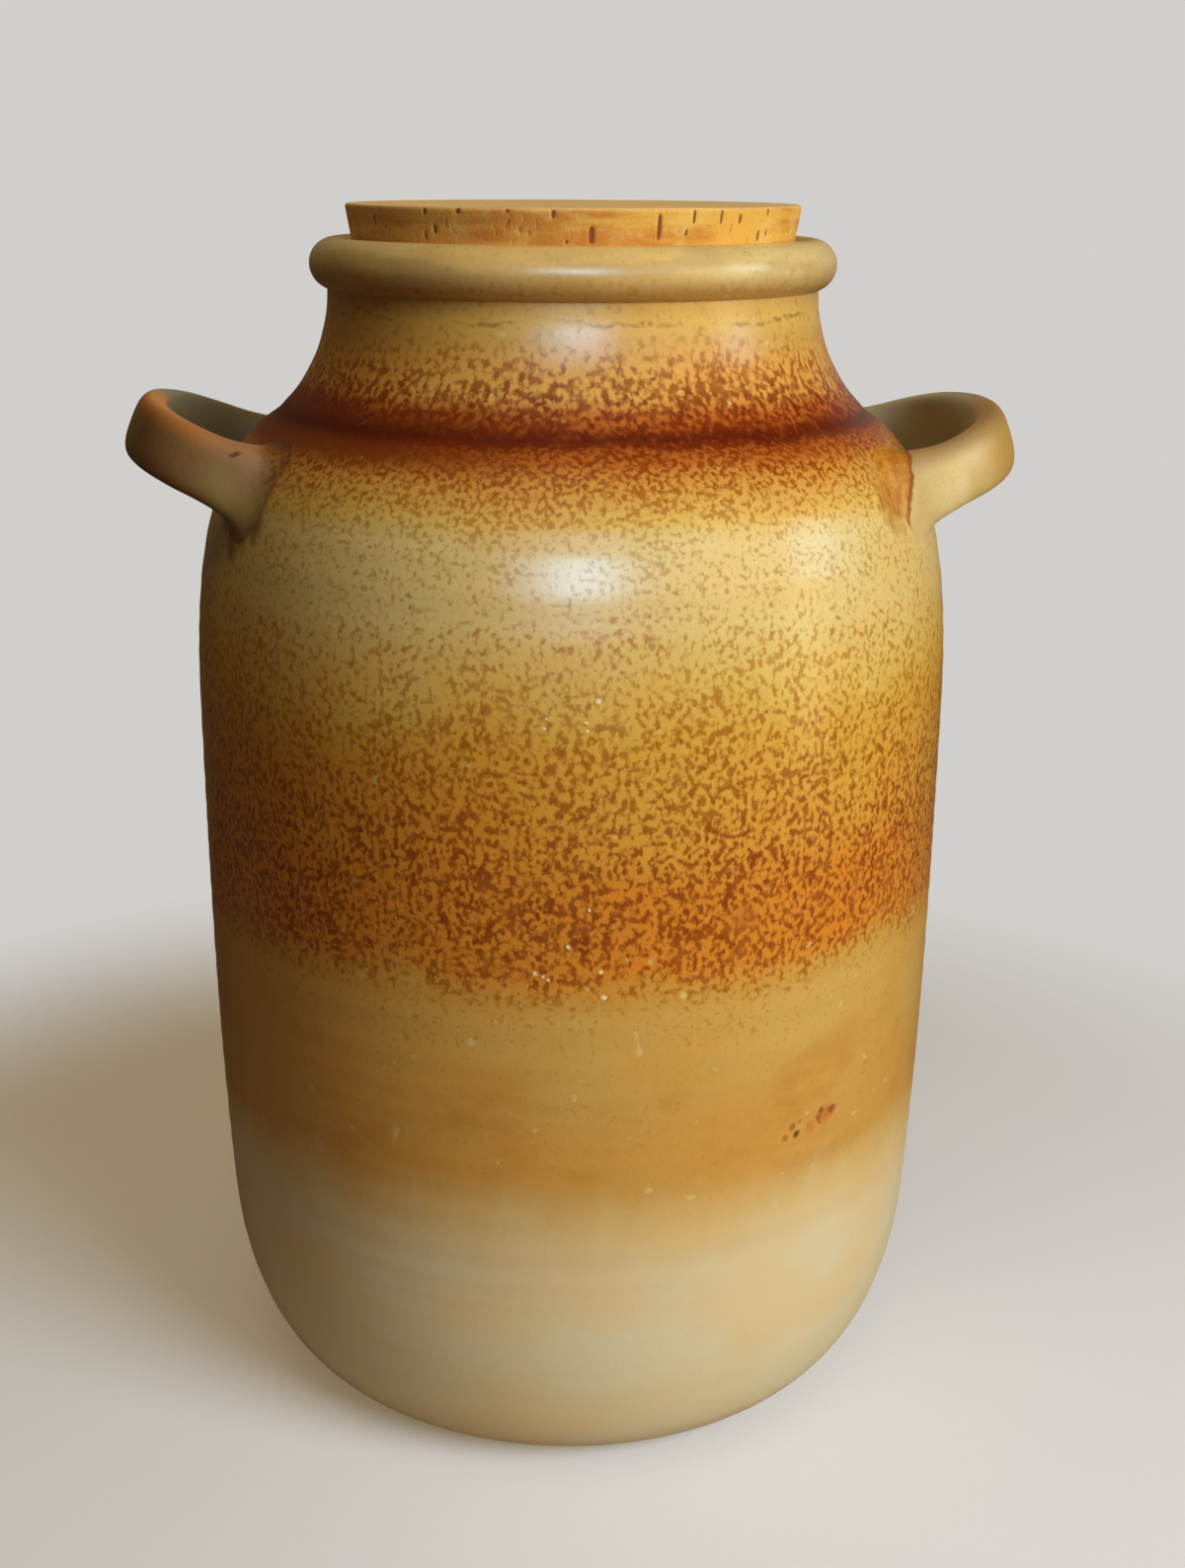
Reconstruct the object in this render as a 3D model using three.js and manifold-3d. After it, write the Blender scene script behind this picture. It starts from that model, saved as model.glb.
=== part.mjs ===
// Stoneware vinegar crock: a thrown jar, two strap handles luted to its shoulder and a tapered cork.
// Millimetres, +Z up. The origin is the centre of the base, on the surface that the crock stands on.
// The handles point along X, and the crock's front looks along -Y.
import * as THREE from "three";
import { mergeVertices } from "three/addons/utils/BufferGeometryUtils.js";
import Module from "manifold-3d";

// Jar: the whole height, the neck and the shoulder down from the rim, and the heel up from the table
const RIM_HEIGHT = 309;
const NECK_HEIGHT = 43.2;
const SHOULDER_HEIGHT = 75.8;
const HEEL_HEIGHT = 50;

// Jar: radii, walls and base
const MOUTH_RADIUS = 56.2;
const WALL = 6.7;
const BELLY_RADIUS = 99.8;
const HEEL_INSET = 3;
const FOOT_INSET = 32;
const FOOT_RING_WIDTH = 13;
const FOOT_HOLLOW_DEPTH = 1.5;
const FOOT_HOLLOW_SLOPE = 3;
const FLOOR = 10;

// Rim: a rolled bead that stands proud of the neck, and the flat on top of the lip
const BEAD_RADIUS = 6.4;
const BEAD_PROUD = 4.4;
const LIP_FLAT = 0.7;

// Neck and shoulder: how far the neck flares, and how far each curve runs on along its end tangents
const NECK_FLARE = 14.4;
const NECK_STRAIGHT = 13;
const CREASE_SLOPE = THREE.MathUtils.degToRad(-36);
const FLARE_RUN = 9.5;
const SHOULDER_RUN = 16.8;
const BELLY_RUN = 50;

// Strap handles: the strap's section, and the loop that it is bent into
const STRAP_WIDTH = 16.6;
const STRAP_THICKNESS = 8.5;
const STRAP_SQUARENESS = 3.2;
const HANDLE_SPAN = 82.4;
const HANDLE_BEND = 29.8;
const HANDLE_CORNER = 0.64;
const HANDLE_ROOT = 54;
const HANDLE_OVERHANG = 10.3;

// How each handle was set by hand: its tip's drop under the crease, its tilt and its skew
const RIGHT_DROP = 5.5;
const RIGHT_TILT = THREE.MathUtils.degToRad(19.5);
const RIGHT_SKEW = THREE.MathUtils.degToRad(0.2);
const LEFT_DROP = 3.4;
const LEFT_TILT = THREE.MathUtils.degToRad(22.6);
const LEFT_SKEW = THREE.MathUtils.degToRad(2.4);

// Thumbed ends, where a strap spreads as it comes to the jar
const SPREAD_LENGTH = 13;
const SPREAD_WIDTH = 5;
const SPREAD_THICKNESS = 4;

// Cork stopper
const CORK_TAPER = THREE.MathUtils.degToRad(10);
const CORK_STAND = 8.2;
const CORK_DEPTH = 20;
const CORK_EDGE = 0.9;

// Clearances: the slip between a handle and the jar, and the cork's seat on the lip
const LUTING_GAP = 0.3;
const SEAT_GAP = 0.3;

// Fineness of the facets: round the axis, along each stretch of a profile, and along and round a strap
const TURN_SEGMENTS = 64;
const HEEL_STEPS = 7;
const WALL_STEPS = 5;
const SHOULDER_STEPS = 8;
const NECK_STEPS = 7;
const BEAD_STEPS = 10;
const LIP_STEPS = 4;
const CORK_EDGE_STEPS = 3;
const HANDLE_STEPS = 46;
const SECTION_POINTS = 16;

// Points nearer than this are one point when a shape is made a solid.
const MERGE_DISTANCE = 0.001;

// A quarter round drawn as one cubic curve has its handles at this share of the radius.
const QUARTER_ROUND = 0.5523;

// Sizes that follow from those above
const CREASE_HEIGHT = RIM_HEIGHT - NECK_HEIGHT;
const BELLY_HEIGHT = CREASE_HEIGHT - SHOULDER_HEIGHT;
const NECK_RADIUS = MOUTH_RADIUS + WALL;
const BEAD_CENTRE = new THREE.Vector2(NECK_RADIUS + BEAD_PROUD - BEAD_RADIUS, RIM_HEIGHT - BEAD_RADIUS);
const LIP_ROUND = BEAD_CENTRE.x - LIP_FLAT - MOUTH_RADIUS;
const LIP_CENTRE = new THREE.Vector2(MOUTH_RADIUS + LIP_ROUND, RIM_HEIGHT - LIP_ROUND);
const GROOVE_ANGLE = -Math.acos((BEAD_RADIUS - BEAD_PROUD) / BEAD_RADIUS);

const wasm = await Module();
wasm.setup();

// Finishes: semi-gloss stoneware glaze and matt cork
const glaze = (color) => new THREE.MeshStandardMaterial({ color, roughness: 0.4, metalness: 0 });
const bark = (color) => new THREE.MeshStandardMaterial({ color, roughness: 0.85, metalness: 0 });

// The points of a cubic curve after its first one. Each pull is a vector from its end to that end's handle.
function bend(from, fromPull, toPull, to, steps) {
  const curve = new THREE.CubicBezierCurve(from, from.clone().add(fromPull), to.clone().add(toPull), to);
  return curve.getPoints(steps).slice(1);
}

// The points of a circular arc.
function arc(centre, radius, fromAngle, toAngle, steps) {
  return new THREE.EllipseCurve(centre.x, centre.y, radius, radius, fromAngle, toAngle).getPoints(steps);
}

// A profile moved sideways, to its left as it runs.
function offset(profile, distance) {
  return profile.map((point, i) => {
    const before = profile[Math.max(i - 1, 0)];
    const after = profile[Math.min(i + 1, profile.length - 1)];
    const along = after.clone().sub(before).normalize();
    return new THREE.Vector2(point.x - along.y * distance, point.y + along.x * distance);
  });
}

// The radius of a rising profile at a height.
function radiusAt(profile, height) {
  const found = profile.findIndex((point, i) => i > 0 && point.y >= height);
  const above = found < 0 ? profile.length - 1 : found;
  const low = profile[above - 1];
  const high = profile[above];
  return THREE.MathUtils.mapLinear(height, low.y, high.y, low.x, high.x);
}

// A solid of revolution about Z from a profile of (radius, height) that starts and ends on the axis.
function revolve(profile) {
  return new THREE.LatheGeometry(profile, TURN_SEGMENTS).rotateX(Math.PI / 2);
}

// A closed geometry as a solid that can be cut.
function toSolid(geometry) {
  const bare = new THREE.BufferGeometry();
  bare.setAttribute("position", geometry.getAttribute("position"));
  bare.setIndex(geometry.getIndex());
  const merged = mergeVertices(bare, MERGE_DISTANCE);
  const vertProperties = merged.getAttribute("position").array;
  const triVerts = new Uint32Array(merged.getIndex().array);
  return new wasm.Manifold(new wasm.Mesh({ numProp: 3, vertProperties, triVerts }));
}

// A solid as a geometry that a mesh can show.
function toGeometry(solid) {
  const { vertProperties, triVerts } = solid.getMesh();
  const geometry = new THREE.BufferGeometry();
  geometry.setAttribute("position", new THREE.BufferAttribute(vertProperties, 3));
  geometry.setIndex(new THREE.BufferAttribute(triVerts, 1));
  geometry.computeVertexNormals();
  return geometry;
}

// The jar's outside, from the edge of its base up to the groove under the bead.
function outerWall() {
  const foot = new THREE.Vector2(BELLY_RADIUS - FOOT_INSET, 0);
  const heel = new THREE.Vector2(BELLY_RADIUS - HEEL_INSET, HEEL_HEIGHT);
  const belly = new THREE.Vector2(BELLY_RADIUS, BELLY_HEIGHT);
  const crease = new THREE.Vector2(NECK_RADIUS + NECK_FLARE, CREASE_HEIGHT);
  const groove = arc(BEAD_CENTRE, BEAD_RADIUS, GROOVE_ANGLE, 0, 1)[0];
  const wallRun = (BELLY_HEIGHT - HEEL_HEIGHT) / 3;
  const heelLean = new THREE.Vector2(HEEL_INSET, wallRun);
  const heelRun = (HEEL_HEIGHT * QUARTER_ROUND) / wallRun;
  const downShoulder = new THREE.Vector2(Math.cos(CREASE_SLOPE), Math.sin(CREASE_SLOPE));
  return [
    foot,
    ...bend(
      foot,
      new THREE.Vector2((heel.x - foot.x) * QUARTER_ROUND, 0),
      heelLean.clone().multiplyScalar(-heelRun),
      heel,
      HEEL_STEPS,
    ),
    ...bend(heel, heelLean, new THREE.Vector2(0, -wallRun), belly, WALL_STEPS),
    ...bend(
      belly,
      new THREE.Vector2(0, BELLY_RUN),
      downShoulder.clone().multiplyScalar(SHOULDER_RUN),
      crease,
      SHOULDER_STEPS,
    ),
    ...bend(
      crease,
      downShoulder.clone().multiplyScalar(-FLARE_RUN),
      new THREE.Vector2(0, -NECK_STRAIGHT),
      groove,
      NECK_STEPS,
    ),
  ];
}

// The jar: base with a shallow hollow, wall, neck, bead and lip, and the inside at one wall's distance.
function makeJar(wall) {
  const ringInside = wall[0].x - FOOT_RING_WIDTH;
  const inside = offset(wall, WALL);
  const floorEdge = new THREE.Vector2(radiusAt(inside, FLOOR), FLOOR);
  return revolve([
    new THREE.Vector2(0, FOOT_HOLLOW_DEPTH),
    new THREE.Vector2(ringInside - FOOT_HOLLOW_SLOPE, FOOT_HOLLOW_DEPTH),
    new THREE.Vector2(ringInside, 0),
    ...wall,
    ...arc(BEAD_CENTRE, BEAD_RADIUS, GROOVE_ANGLE, Math.PI / 2, BEAD_STEPS).slice(1),
    ...arc(LIP_CENTRE, LIP_ROUND, Math.PI / 2, Math.PI, LIP_STEPS),
    ...inside.filter((point) => point.y > FLOOR).reverse(),
    floorEdge,
    new THREE.Vector2(0, FLOOR),
  ]);
}

// The space that the handles may not enter: the filled jar, grown by the luting gap.
function makeJarEnvelope(wall) {
  const grown = offset(wall, -LUTING_GAP);
  const low = new THREE.Vector2(0, grown[0].y);
  const high = new THREE.Vector2(0, grown[grown.length - 1].y);
  return revolve([low, ...grown, high]);
}

// The strap's section: x through its thickness and y across its width, each from -1 to 1.
function strapSection() {
  const flatten = (value) => Math.sign(value) * Math.abs(value) ** (2 / STRAP_SQUARENESS);
  return Array.from({ length: SECTION_POINTS }, (_, i) => {
    const angle = (i / SECTION_POINTS) * 2 * Math.PI;
    return new THREE.Vector2(flatten(Math.cos(angle)), flatten(Math.sin(angle)));
  });
}

// The middle line of a handle in its own plane: x points outwards from the tip, and y runs along the span.
function handleLine() {
  const side = HANDLE_SPAN / 2;
  const path = new THREE.Path();
  path.moveTo(-HANDLE_ROOT, -side);
  path.lineTo(-HANDLE_BEND, -side);
  path.bezierCurveTo(-HANDLE_BEND * (1 - HANDLE_CORNER), -side, 0, -side * HANDLE_CORNER, 0, 0);
  path.bezierCurveTo(0, side * HANDLE_CORNER, -HANDLE_BEND * (1 - HANDLE_CORNER), side, -HANDLE_BEND, side);
  path.lineTo(-HANDLE_ROOT, side);
  return path.getSpacedPoints(HANDLE_STEPS);
}

// Where a handle stands, with its tip as its origin: turned to its side, tilted up and a little askew.
function handlePlace({ bearing, drop, tilt, skew }) {
  const place = new THREE.Matrix4().makeRotationZ(bearing);
  const tip = new THREE.Vector3(BELLY_RADIUS + HANDLE_OVERHANG, 0, CREASE_HEIGHT - drop);
  place.multiply(new THREE.Matrix4().makeTranslation(tip));
  place.multiply(new THREE.Matrix4().makeRotationY(-tilt));
  return place.multiply(new THREE.Matrix4().makeRotationX(skew));
}

// A strap lofted along its line, spreading near the jar and cut off by the jar's envelope.
function makeHandle(wall, envelope, setting) {
  const line = handleLine();
  const section = strapSection();
  const place = handlePlace(setting);
  const across = new THREE.Vector3(0, 0, 1);
  const positions = [];
  line.forEach((point, i) => {
    const middle = new THREE.Vector3(point.x, point.y, 0);
    const placed = middle.clone().applyMatrix4(place);
    const clear = Math.hypot(placed.x, placed.y) - radiusAt(wall, placed.z);
    const spread = THREE.MathUtils.clamp(1 - clear / SPREAD_LENGTH, 0, 1) ** 2;
    const before = line[Math.max(i - 1, 0)];
    const after = line[Math.min(i + 1, line.length - 1)];
    const outward = new THREE.Vector3(after.y - before.y, before.x - after.x, 0).normalize();
    section.forEach((corner) => {
      const vertex = middle.clone();
      vertex.addScaledVector(outward, (corner.x * (STRAP_THICKNESS + SPREAD_THICKNESS * spread)) / 2);
      vertex.addScaledVector(across, (corner.y * (STRAP_WIDTH + SPREAD_WIDTH * spread)) / 2);
      positions.push(...vertex.applyMatrix4(place).toArray());
    });
  });
  const loft = new THREE.BufferGeometry();
  loft.setAttribute("position", new THREE.Float32BufferAttribute(positions, 3));
  loft.setIndex(loftFaces(line.length, section.length));
  return toGeometry(toSolid(loft).subtract(envelope));
}

// The triangles of a loft: a band between each two rings of points, and a cap on each end.
function loftFaces(rings, points) {
  const faces = [];
  for (let ring = 0; ring < rings - 1; ring++) {
    for (let i = 0; i < points; i++) {
      const a = ring * points + i;
      const b = ring * points + ((i + 1) % points);
      faces.push(a, b + points, b, a, a + points, b + points);
    }
  }
  const end = (rings - 1) * points;
  for (let i = 1; i < points - 1; i++) {
    faces.push(0, i, i + 1);
    faces.push(end, end + i + 1, end + i);
  }
  return faces;
}

// The cork: a plug whose cone rests on the round of the lip, at the seat gap from it.
function makeCork() {
  const coneRadius = (height) =>
    LIP_CENTRE.x +
    (height - LIP_CENTRE.y) * Math.tan(CORK_TAPER) -
    (LIP_ROUND + SEAT_GAP) / Math.cos(CORK_TAPER);
  const top = RIM_HEIGHT + CORK_STAND;
  const bottom = RIM_HEIGHT - CORK_DEPTH;
  const onCone = (height) => new THREE.Vector2(coneRadius(height), height);
  const edge = (...points) => new THREE.QuadraticBezierCurve(...points).getPoints(CORK_EDGE_STEPS);
  return revolve([
    new THREE.Vector2(0, bottom),
    ...edge(
      new THREE.Vector2(coneRadius(bottom) - CORK_EDGE, bottom),
      onCone(bottom),
      onCone(bottom + CORK_EDGE),
    ),
    ...edge(onCone(top - CORK_EDGE), onCone(top), new THREE.Vector2(coneRadius(top) - CORK_EDGE, top)),
    new THREE.Vector2(0, top),
  ]);
}

function named(name, geometry, material) {
  const mesh = new THREE.Mesh(geometry, material);
  mesh.name = name;
  return mesh;
}

const wall = outerWall();
const envelope = toSolid(makeJarEnvelope(wall));
const rightSetting = { bearing: 0, drop: RIGHT_DROP, tilt: RIGHT_TILT, skew: RIGHT_SKEW };
const leftSetting = { bearing: Math.PI, drop: LEFT_DROP, tilt: LEFT_TILT, skew: LEFT_SKEW };

const vinegarCrock = new THREE.Group();
vinegarCrock.name = "vinegar_crock";
vinegarCrock.add(named("crock_body", makeJar(wall), glaze(0xb08a4e)));
vinegarCrock.add(named("right_handle", makeHandle(wall, envelope, rightSetting), glaze(0xb39a5e)));
vinegarCrock.add(named("left_handle", makeHandle(wall, envelope, leftSetting), glaze(0x8c7348)));
vinegarCrock.add(named("cork_stopper", makeCork(), bark(0xc48a45)));

export default vinegarCrock;
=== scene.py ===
"""Looks of a stoneware vinegar crock: a thrown jar, two luted strap handles and a tapered cork stopper.

Metres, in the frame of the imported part: +Z up from the table, the handles along X, the front along -Y.
"""
import logging
import math
import random
from dataclasses import dataclass, field
from enum import Enum

import bmesh
import bpy
from mathutils import Matrix, Vector, kdtree, noise
from mathutils.bvhtree import BVHTree
from mathutils.geometry import interpolate_bezier


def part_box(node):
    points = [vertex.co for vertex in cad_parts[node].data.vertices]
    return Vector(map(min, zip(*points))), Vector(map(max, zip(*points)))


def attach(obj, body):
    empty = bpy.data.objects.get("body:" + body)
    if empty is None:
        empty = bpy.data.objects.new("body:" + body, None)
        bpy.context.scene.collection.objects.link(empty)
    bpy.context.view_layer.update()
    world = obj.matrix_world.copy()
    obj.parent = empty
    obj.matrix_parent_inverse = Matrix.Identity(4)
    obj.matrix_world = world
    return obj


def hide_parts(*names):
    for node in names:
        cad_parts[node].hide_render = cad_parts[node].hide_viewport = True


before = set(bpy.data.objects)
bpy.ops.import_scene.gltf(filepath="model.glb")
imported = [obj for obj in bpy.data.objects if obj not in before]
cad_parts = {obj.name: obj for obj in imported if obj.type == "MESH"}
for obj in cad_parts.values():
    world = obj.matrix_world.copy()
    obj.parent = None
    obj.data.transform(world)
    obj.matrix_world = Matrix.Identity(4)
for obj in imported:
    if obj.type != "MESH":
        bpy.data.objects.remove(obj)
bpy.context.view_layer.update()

MM = 0.001
# How far the crock stands turned, as the camera sees it, in degrees.
FRONT_TURN = 3.35
TURN_SECTORS = 24
GLAZE_DEPTH = 0.06 * MM
LOG = logging.getLogger("vinegar_crock")

Socket = bpy.types.NodeSocket
Feed = Socket | float | tuple[float, ...]
Feeds = dict[str | int, Feed]
Colour = tuple[float, float, float, float]
# Where a change starts and where it is complete.
Span = tuple[float, float]
# The heights at which a zone starts, is full, starts to fade and ends.
Window = tuple[float, float, float, float]


class Body(Enum):
    """The bodies that pieces ride on."""

    CROCK = "crock"
    STOPPER = "stopper"


class Slot(Enum):
    """The record's finishes."""

    JAR = "jar_glaze"
    HANDLE = "handle_glaze"
    CORK = "cork"


class Side(Enum):
    """The side of the jar that a handle is on, as a bearing from +X."""

    RIGHT = 0.0
    LEFT = math.pi


class Tint(Enum):
    """Colours of the clay, the glaze, the iron in it and the cork, as they look in plain light, with a few
    painted shades and a painted glint.
    """

    FOOT_CLAY = "#CABE9E"
    BUFF = "#DED1A8"
    WASH = "#DABF80"
    TAN = "#D0A14E"
    PALE_TAN = "#D2A854"
    WARM_TAN = "#D29F42"
    AMBER = "#DA8B28"
    GOLD = "#DB9E36"
    HONEY = "#DBAB42"
    OCHRE = "#E0BC5E"
    CREAM = "#E0C880"
    SAND = "#D8A64E"
    COPPER = "#D1933C"
    RUST = "#BC6C26"
    BROWN = "#AC5A1C"
    CREASE = "#80340A"
    POOLED = "#C49C58"
    BEAD = "#DEC480"
    BEAD_OLIVE = "#B89C62"
    SCORCH = "#C0842E"
    OLIVE_IRON = "#C09C50"
    BUFF_IRON = "#BC8C40"
    TAWNY_IRON = "#B88228"
    ORANGE_IRON = "#A86408"
    IRON = "#924400"
    DARK_IRON = "#883800"
    RED_IRON = "#742600"
    CREASE_IRON = "#581800"
    BREAK_LINE = "#7A5218"
    OLIVE = "#BEA258"
    HANDLE_PALE = "#DCC68C"
    HANDLE_TIP = "#B08A44"
    HANDLE_EDGE = "#C27A34"
    HANDLE_BLUSH = "#A87650"
    # Painted shade for the right handle's top edge.
    HANDLE_TOP_SHADE = "#8F6E40"
    HANDLE_SHADE = "#8F8F74"
    # Painted shade: the next three are darker browns and an olive for the left handle and the jar by its
    # root, on the crock's shaded side.
    SHADED_BROWN = "#8C6A40"
    ROOT_SHADE = "#4A2E14"
    SHADED_OLIVE = "#948048"
    LINER = "#8A5A26"
    # Painted highlight: the white of tiny glints on the glaze.
    PAINTED_GLINT = "#FFF0C4"
    BLUSH = "#C07030"
    SCAR = "#9A4608"
    PIT = "#542604"
    CORK = "#E8B44C"
    CORK_BAND = "#D28E32"
    CORK_PALE = "#EEC86C"
    CORK_TOP = "#E0C288"
    LENTICEL = "#8A5018"
    FLOOR = "#D0E0F7"
    FLOOR_BOUNCE = "#D2C7B4"
    # Dark floor colour for bounced and reflected light: a flag that shades the crock's lower left.
    FLOOR_FLAG = "#927C5C"
    SURROUND = "#D1CFCC"

    @property
    def linear(self) -> Colour:
        """The colour in linear light.

        Returns:
            Red, green, blue and an alpha of 1.
        """
        channels = (int(self.value[i : i + 2], 16) / 255 for i in (1, 3, 5))
        curve = (c / 12.92 if c <= 0.04045 else ((c + 0.055) / 1.055) ** 2.4 for c in channels)
        return (*curve, 1.0)


def towards(azimuth: float) -> Vector:
    """The level direction at an azimuth, in degrees to the right of where the camera stands."""
    angle = math.radians(azimuth - FRONT_TURN)
    return Vector((math.sin(angle), -math.cos(angle), 0.0))


def on_round(azimuth: float, radius: float, height: float) -> Vector:
    """The point at an azimuth, a distance from the crock's axis and a height."""
    return towards(azimuth) * radius + Vector((0.0, 0.0, height))


class Wiring:
    """Adds nodes to one node tree and links them."""

    def __init__(self, tree: bpy.types.NodeTree) -> None:
        """Keeps the tree that the nodes go into."""
        self.tree = tree

    def feed(self, socket: Socket, feed: Feed) -> None:
        """Links a socket to an output, or sets its value.

        Args:
            socket: The input.
            feed: The output that it takes, or its value.
        """
        if isinstance(feed, bpy.types.NodeSocket):
            self.tree.links.new(feed, socket)
        else:
            socket.default_value = feed

    def add(self, kind: str, feeds: Feeds | None = None, **settings: object) -> bpy.types.Node:
        """Adds a node.

        Args:
            kind: The node's type name.
            feeds: What goes into its inputs, by name or number.
            **settings: Its other properties.

        Returns:
            The node.
        """
        node = self.tree.nodes.new(kind)
        for name, value in settings.items():
            setattr(node, name, value)
        for key, feed in (feeds or {}).items():
            self.feed(node.inputs[key], feed)
        return node

    def math(self, operation: str, *feeds: Feed, clamp: bool = False) -> Socket:
        """The result of one sum."""
        node = self.add("ShaderNodeMath", dict(enumerate(feeds)), operation=operation, use_clamp=clamp)
        return node.outputs[0]

    def times(self, first: Feed, *others: Feed) -> Feed:
        """Multiplies values.

        Args:
            first: The first value.
            *others: The other ones.

        Returns:
            Their product.
        """
        for other in others:
            first = self.math("MULTIPLY", first, other)
        return first

    def inverse(self, mask: Feed) -> Socket:
        """What a mask leaves of 1."""
        return self.math("SUBTRACT", 1.0, mask)

    def axes(self, vector: Feed) -> bpy.types.NodeOutputs:
        """A vector's X, Y and Z."""
        return self.add("ShaderNodeSeparateXYZ", {0: vector}).outputs

    def vector(self, operation: str, *feeds: Feed) -> bpy.types.NodeOutputs:
        """The results of one sum of vectors."""
        return self.add("ShaderNodeVectorMath", dict(enumerate(feeds)), operation=operation).outputs

    def distance(self, first: Feed, second: Feed) -> Socket:
        """How far apart two places are."""
        return self.vector("DISTANCE", first, second)["Value"]

    def mix(self, factor: Feed, first: Feed, second: Feed, blend: str = "MIX") -> Socket:
        """Two colours mixed by a factor."""
        feeds = {0: factor, 6: first, 7: second}
        return self.add("ShaderNodeMix", feeds, data_type="RGBA", blend_type=blend).outputs[2]

    def tinge(self, colour: Feed, tint: Tint, *masks: Feed) -> Socket:
        """A colour with a tint laid over it, as strongly as the product of the masks."""
        return self.mix(self.times(*masks), colour, tint.linear)

    def between(self, factor: Feed, first: Feed, second: Feed) -> Socket:
        """Two values mixed by a factor."""
        return self.add("ShaderNodeMix", {0: factor, 2: first, 3: second}, data_type="FLOAT").outputs[0]

    def step(self, value: Feed, low: Feed, high: Feed) -> Socket:
        """A smooth rise from 0 at low to 1 at high."""
        feeds = {"Value": value, "From Min": low, "From Max": high}
        return self.add("ShaderNodeMapRange", feeds, interpolation_type="SMOOTHSTEP").outputs["Result"]

    def window(self, value: Feed, edges: Window) -> Socket:
        """1 in a zone, with a smooth rise before it and a smooth fall after it."""
        start, full, fade, end = edges
        return self.times(self.step(value, start, full), self.step(value, end, fade))

    def spread(self, value: Feed, low: float, high: float, to_low: float, to_high: float) -> Socket:
        """A value carried from one range to another in a straight line, and held at its ends."""
        feeds = {"Value": value, "From Min": low, "From Max": high, "To Min": to_low, "To Max": to_high}
        return self.add("ShaderNodeMapRange", feeds).outputs["Result"]

    def stretch(self, vector: Feed, scale: tuple[float, float, float]) -> Socket:
        """A position scaled along each axis."""
        return self.add("ShaderNodeMapping", {"Vector": vector, "Scale": scale}).outputs["Vector"]

    def noise(self, vector: Feed, scale: float, detail: float = 2.0, roughness: float = 0.5) -> Socket:
        """Soft noise about 0.5, with features of about one over the scale in metres."""
        feeds = {"Vector": vector, "Scale": scale, "Detail": detail, "Roughness": roughness}
        return self.add("ShaderNodeTexNoise", feeds).outputs["Fac"]

    def sway(self, vector: Feed, scale: float, size: float, detail: float = 2.0) -> Socket:
        """Soft noise from -size to size."""
        return self.spread(self.noise(vector, scale, detail), 0.3, 0.7, -size, size)

    def attribute(self, name: str) -> Socket:
        """A value that the mesh carries at its points."""
        return self.add("ShaderNodeAttribute", attribute_name=name).outputs["Fac"]

    def ramp(self, factor: Feed, stops: list[tuple[float, Colour]]) -> bpy.types.Node:
        """A colour ramp.

        Args:
            factor: The place along the ramp.
            stops: The places of its colours, rising from 0 to 1, with each colour.

        Returns:
            The ramp's node.
        """
        node = self.add("ShaderNodeValToRGB", {"Fac": factor})
        elements = node.color_ramp.elements
        for element, (place, colour) in zip((elements[0], elements[-1]), (stops[0], stops[-1])):
            element.position = place
            element.color = colour
        for place, colour in stops[1:-1]:
            elements.new(place).color = colour
        return node

    def group(self, tree: bpy.types.NodeTree, feeds: Feeds) -> bpy.types.Node:
        """Places a node group."""
        return self.add("ShaderNodeGroup", feeds, node_tree=tree)


class Group:
    """A shader node group that is being wired, with its entry and its exit."""

    def __init__(self, name: str, inputs: dict[str, str], outputs: dict[str, str]) -> None:
        """Makes the group and its sockets.

        Args:
            name: The group's name.
            inputs: The kind of each input socket, by name.
            outputs: The kind of each output socket, by name.
        """
        self.tree = bpy.data.node_groups.new(name, "ShaderNodeTree")
        for direction, sockets in (("INPUT", inputs), ("OUTPUT", outputs)):
            for socket, kind in sockets.items():
                self.tree.interface.new_socket(socket, in_out=direction, socket_type=kind)
        self.wiring = Wiring(self.tree)
        self.entry = self.wiring.add("NodeGroupInput").outputs
        self.leave = self.wiring.add("NodeGroupOutput").inputs

    def put(self, name: str, feed: Feed) -> None:
        """Feeds one of the group's outputs."""
        self.wiring.feed(self.leave[name], feed)


FLOAT = "NodeSocketFloat"
VECTOR = "NodeSocketVector"
COLOUR = "NodeSocketColor"


@dataclass(frozen=True)
class GlazeZone:
    """One height on the jar: the glaze there, the iron in it and how much of the glaze the iron covers."""

    height: float
    ground: Tint
    iron: Tint
    cover: float


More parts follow.
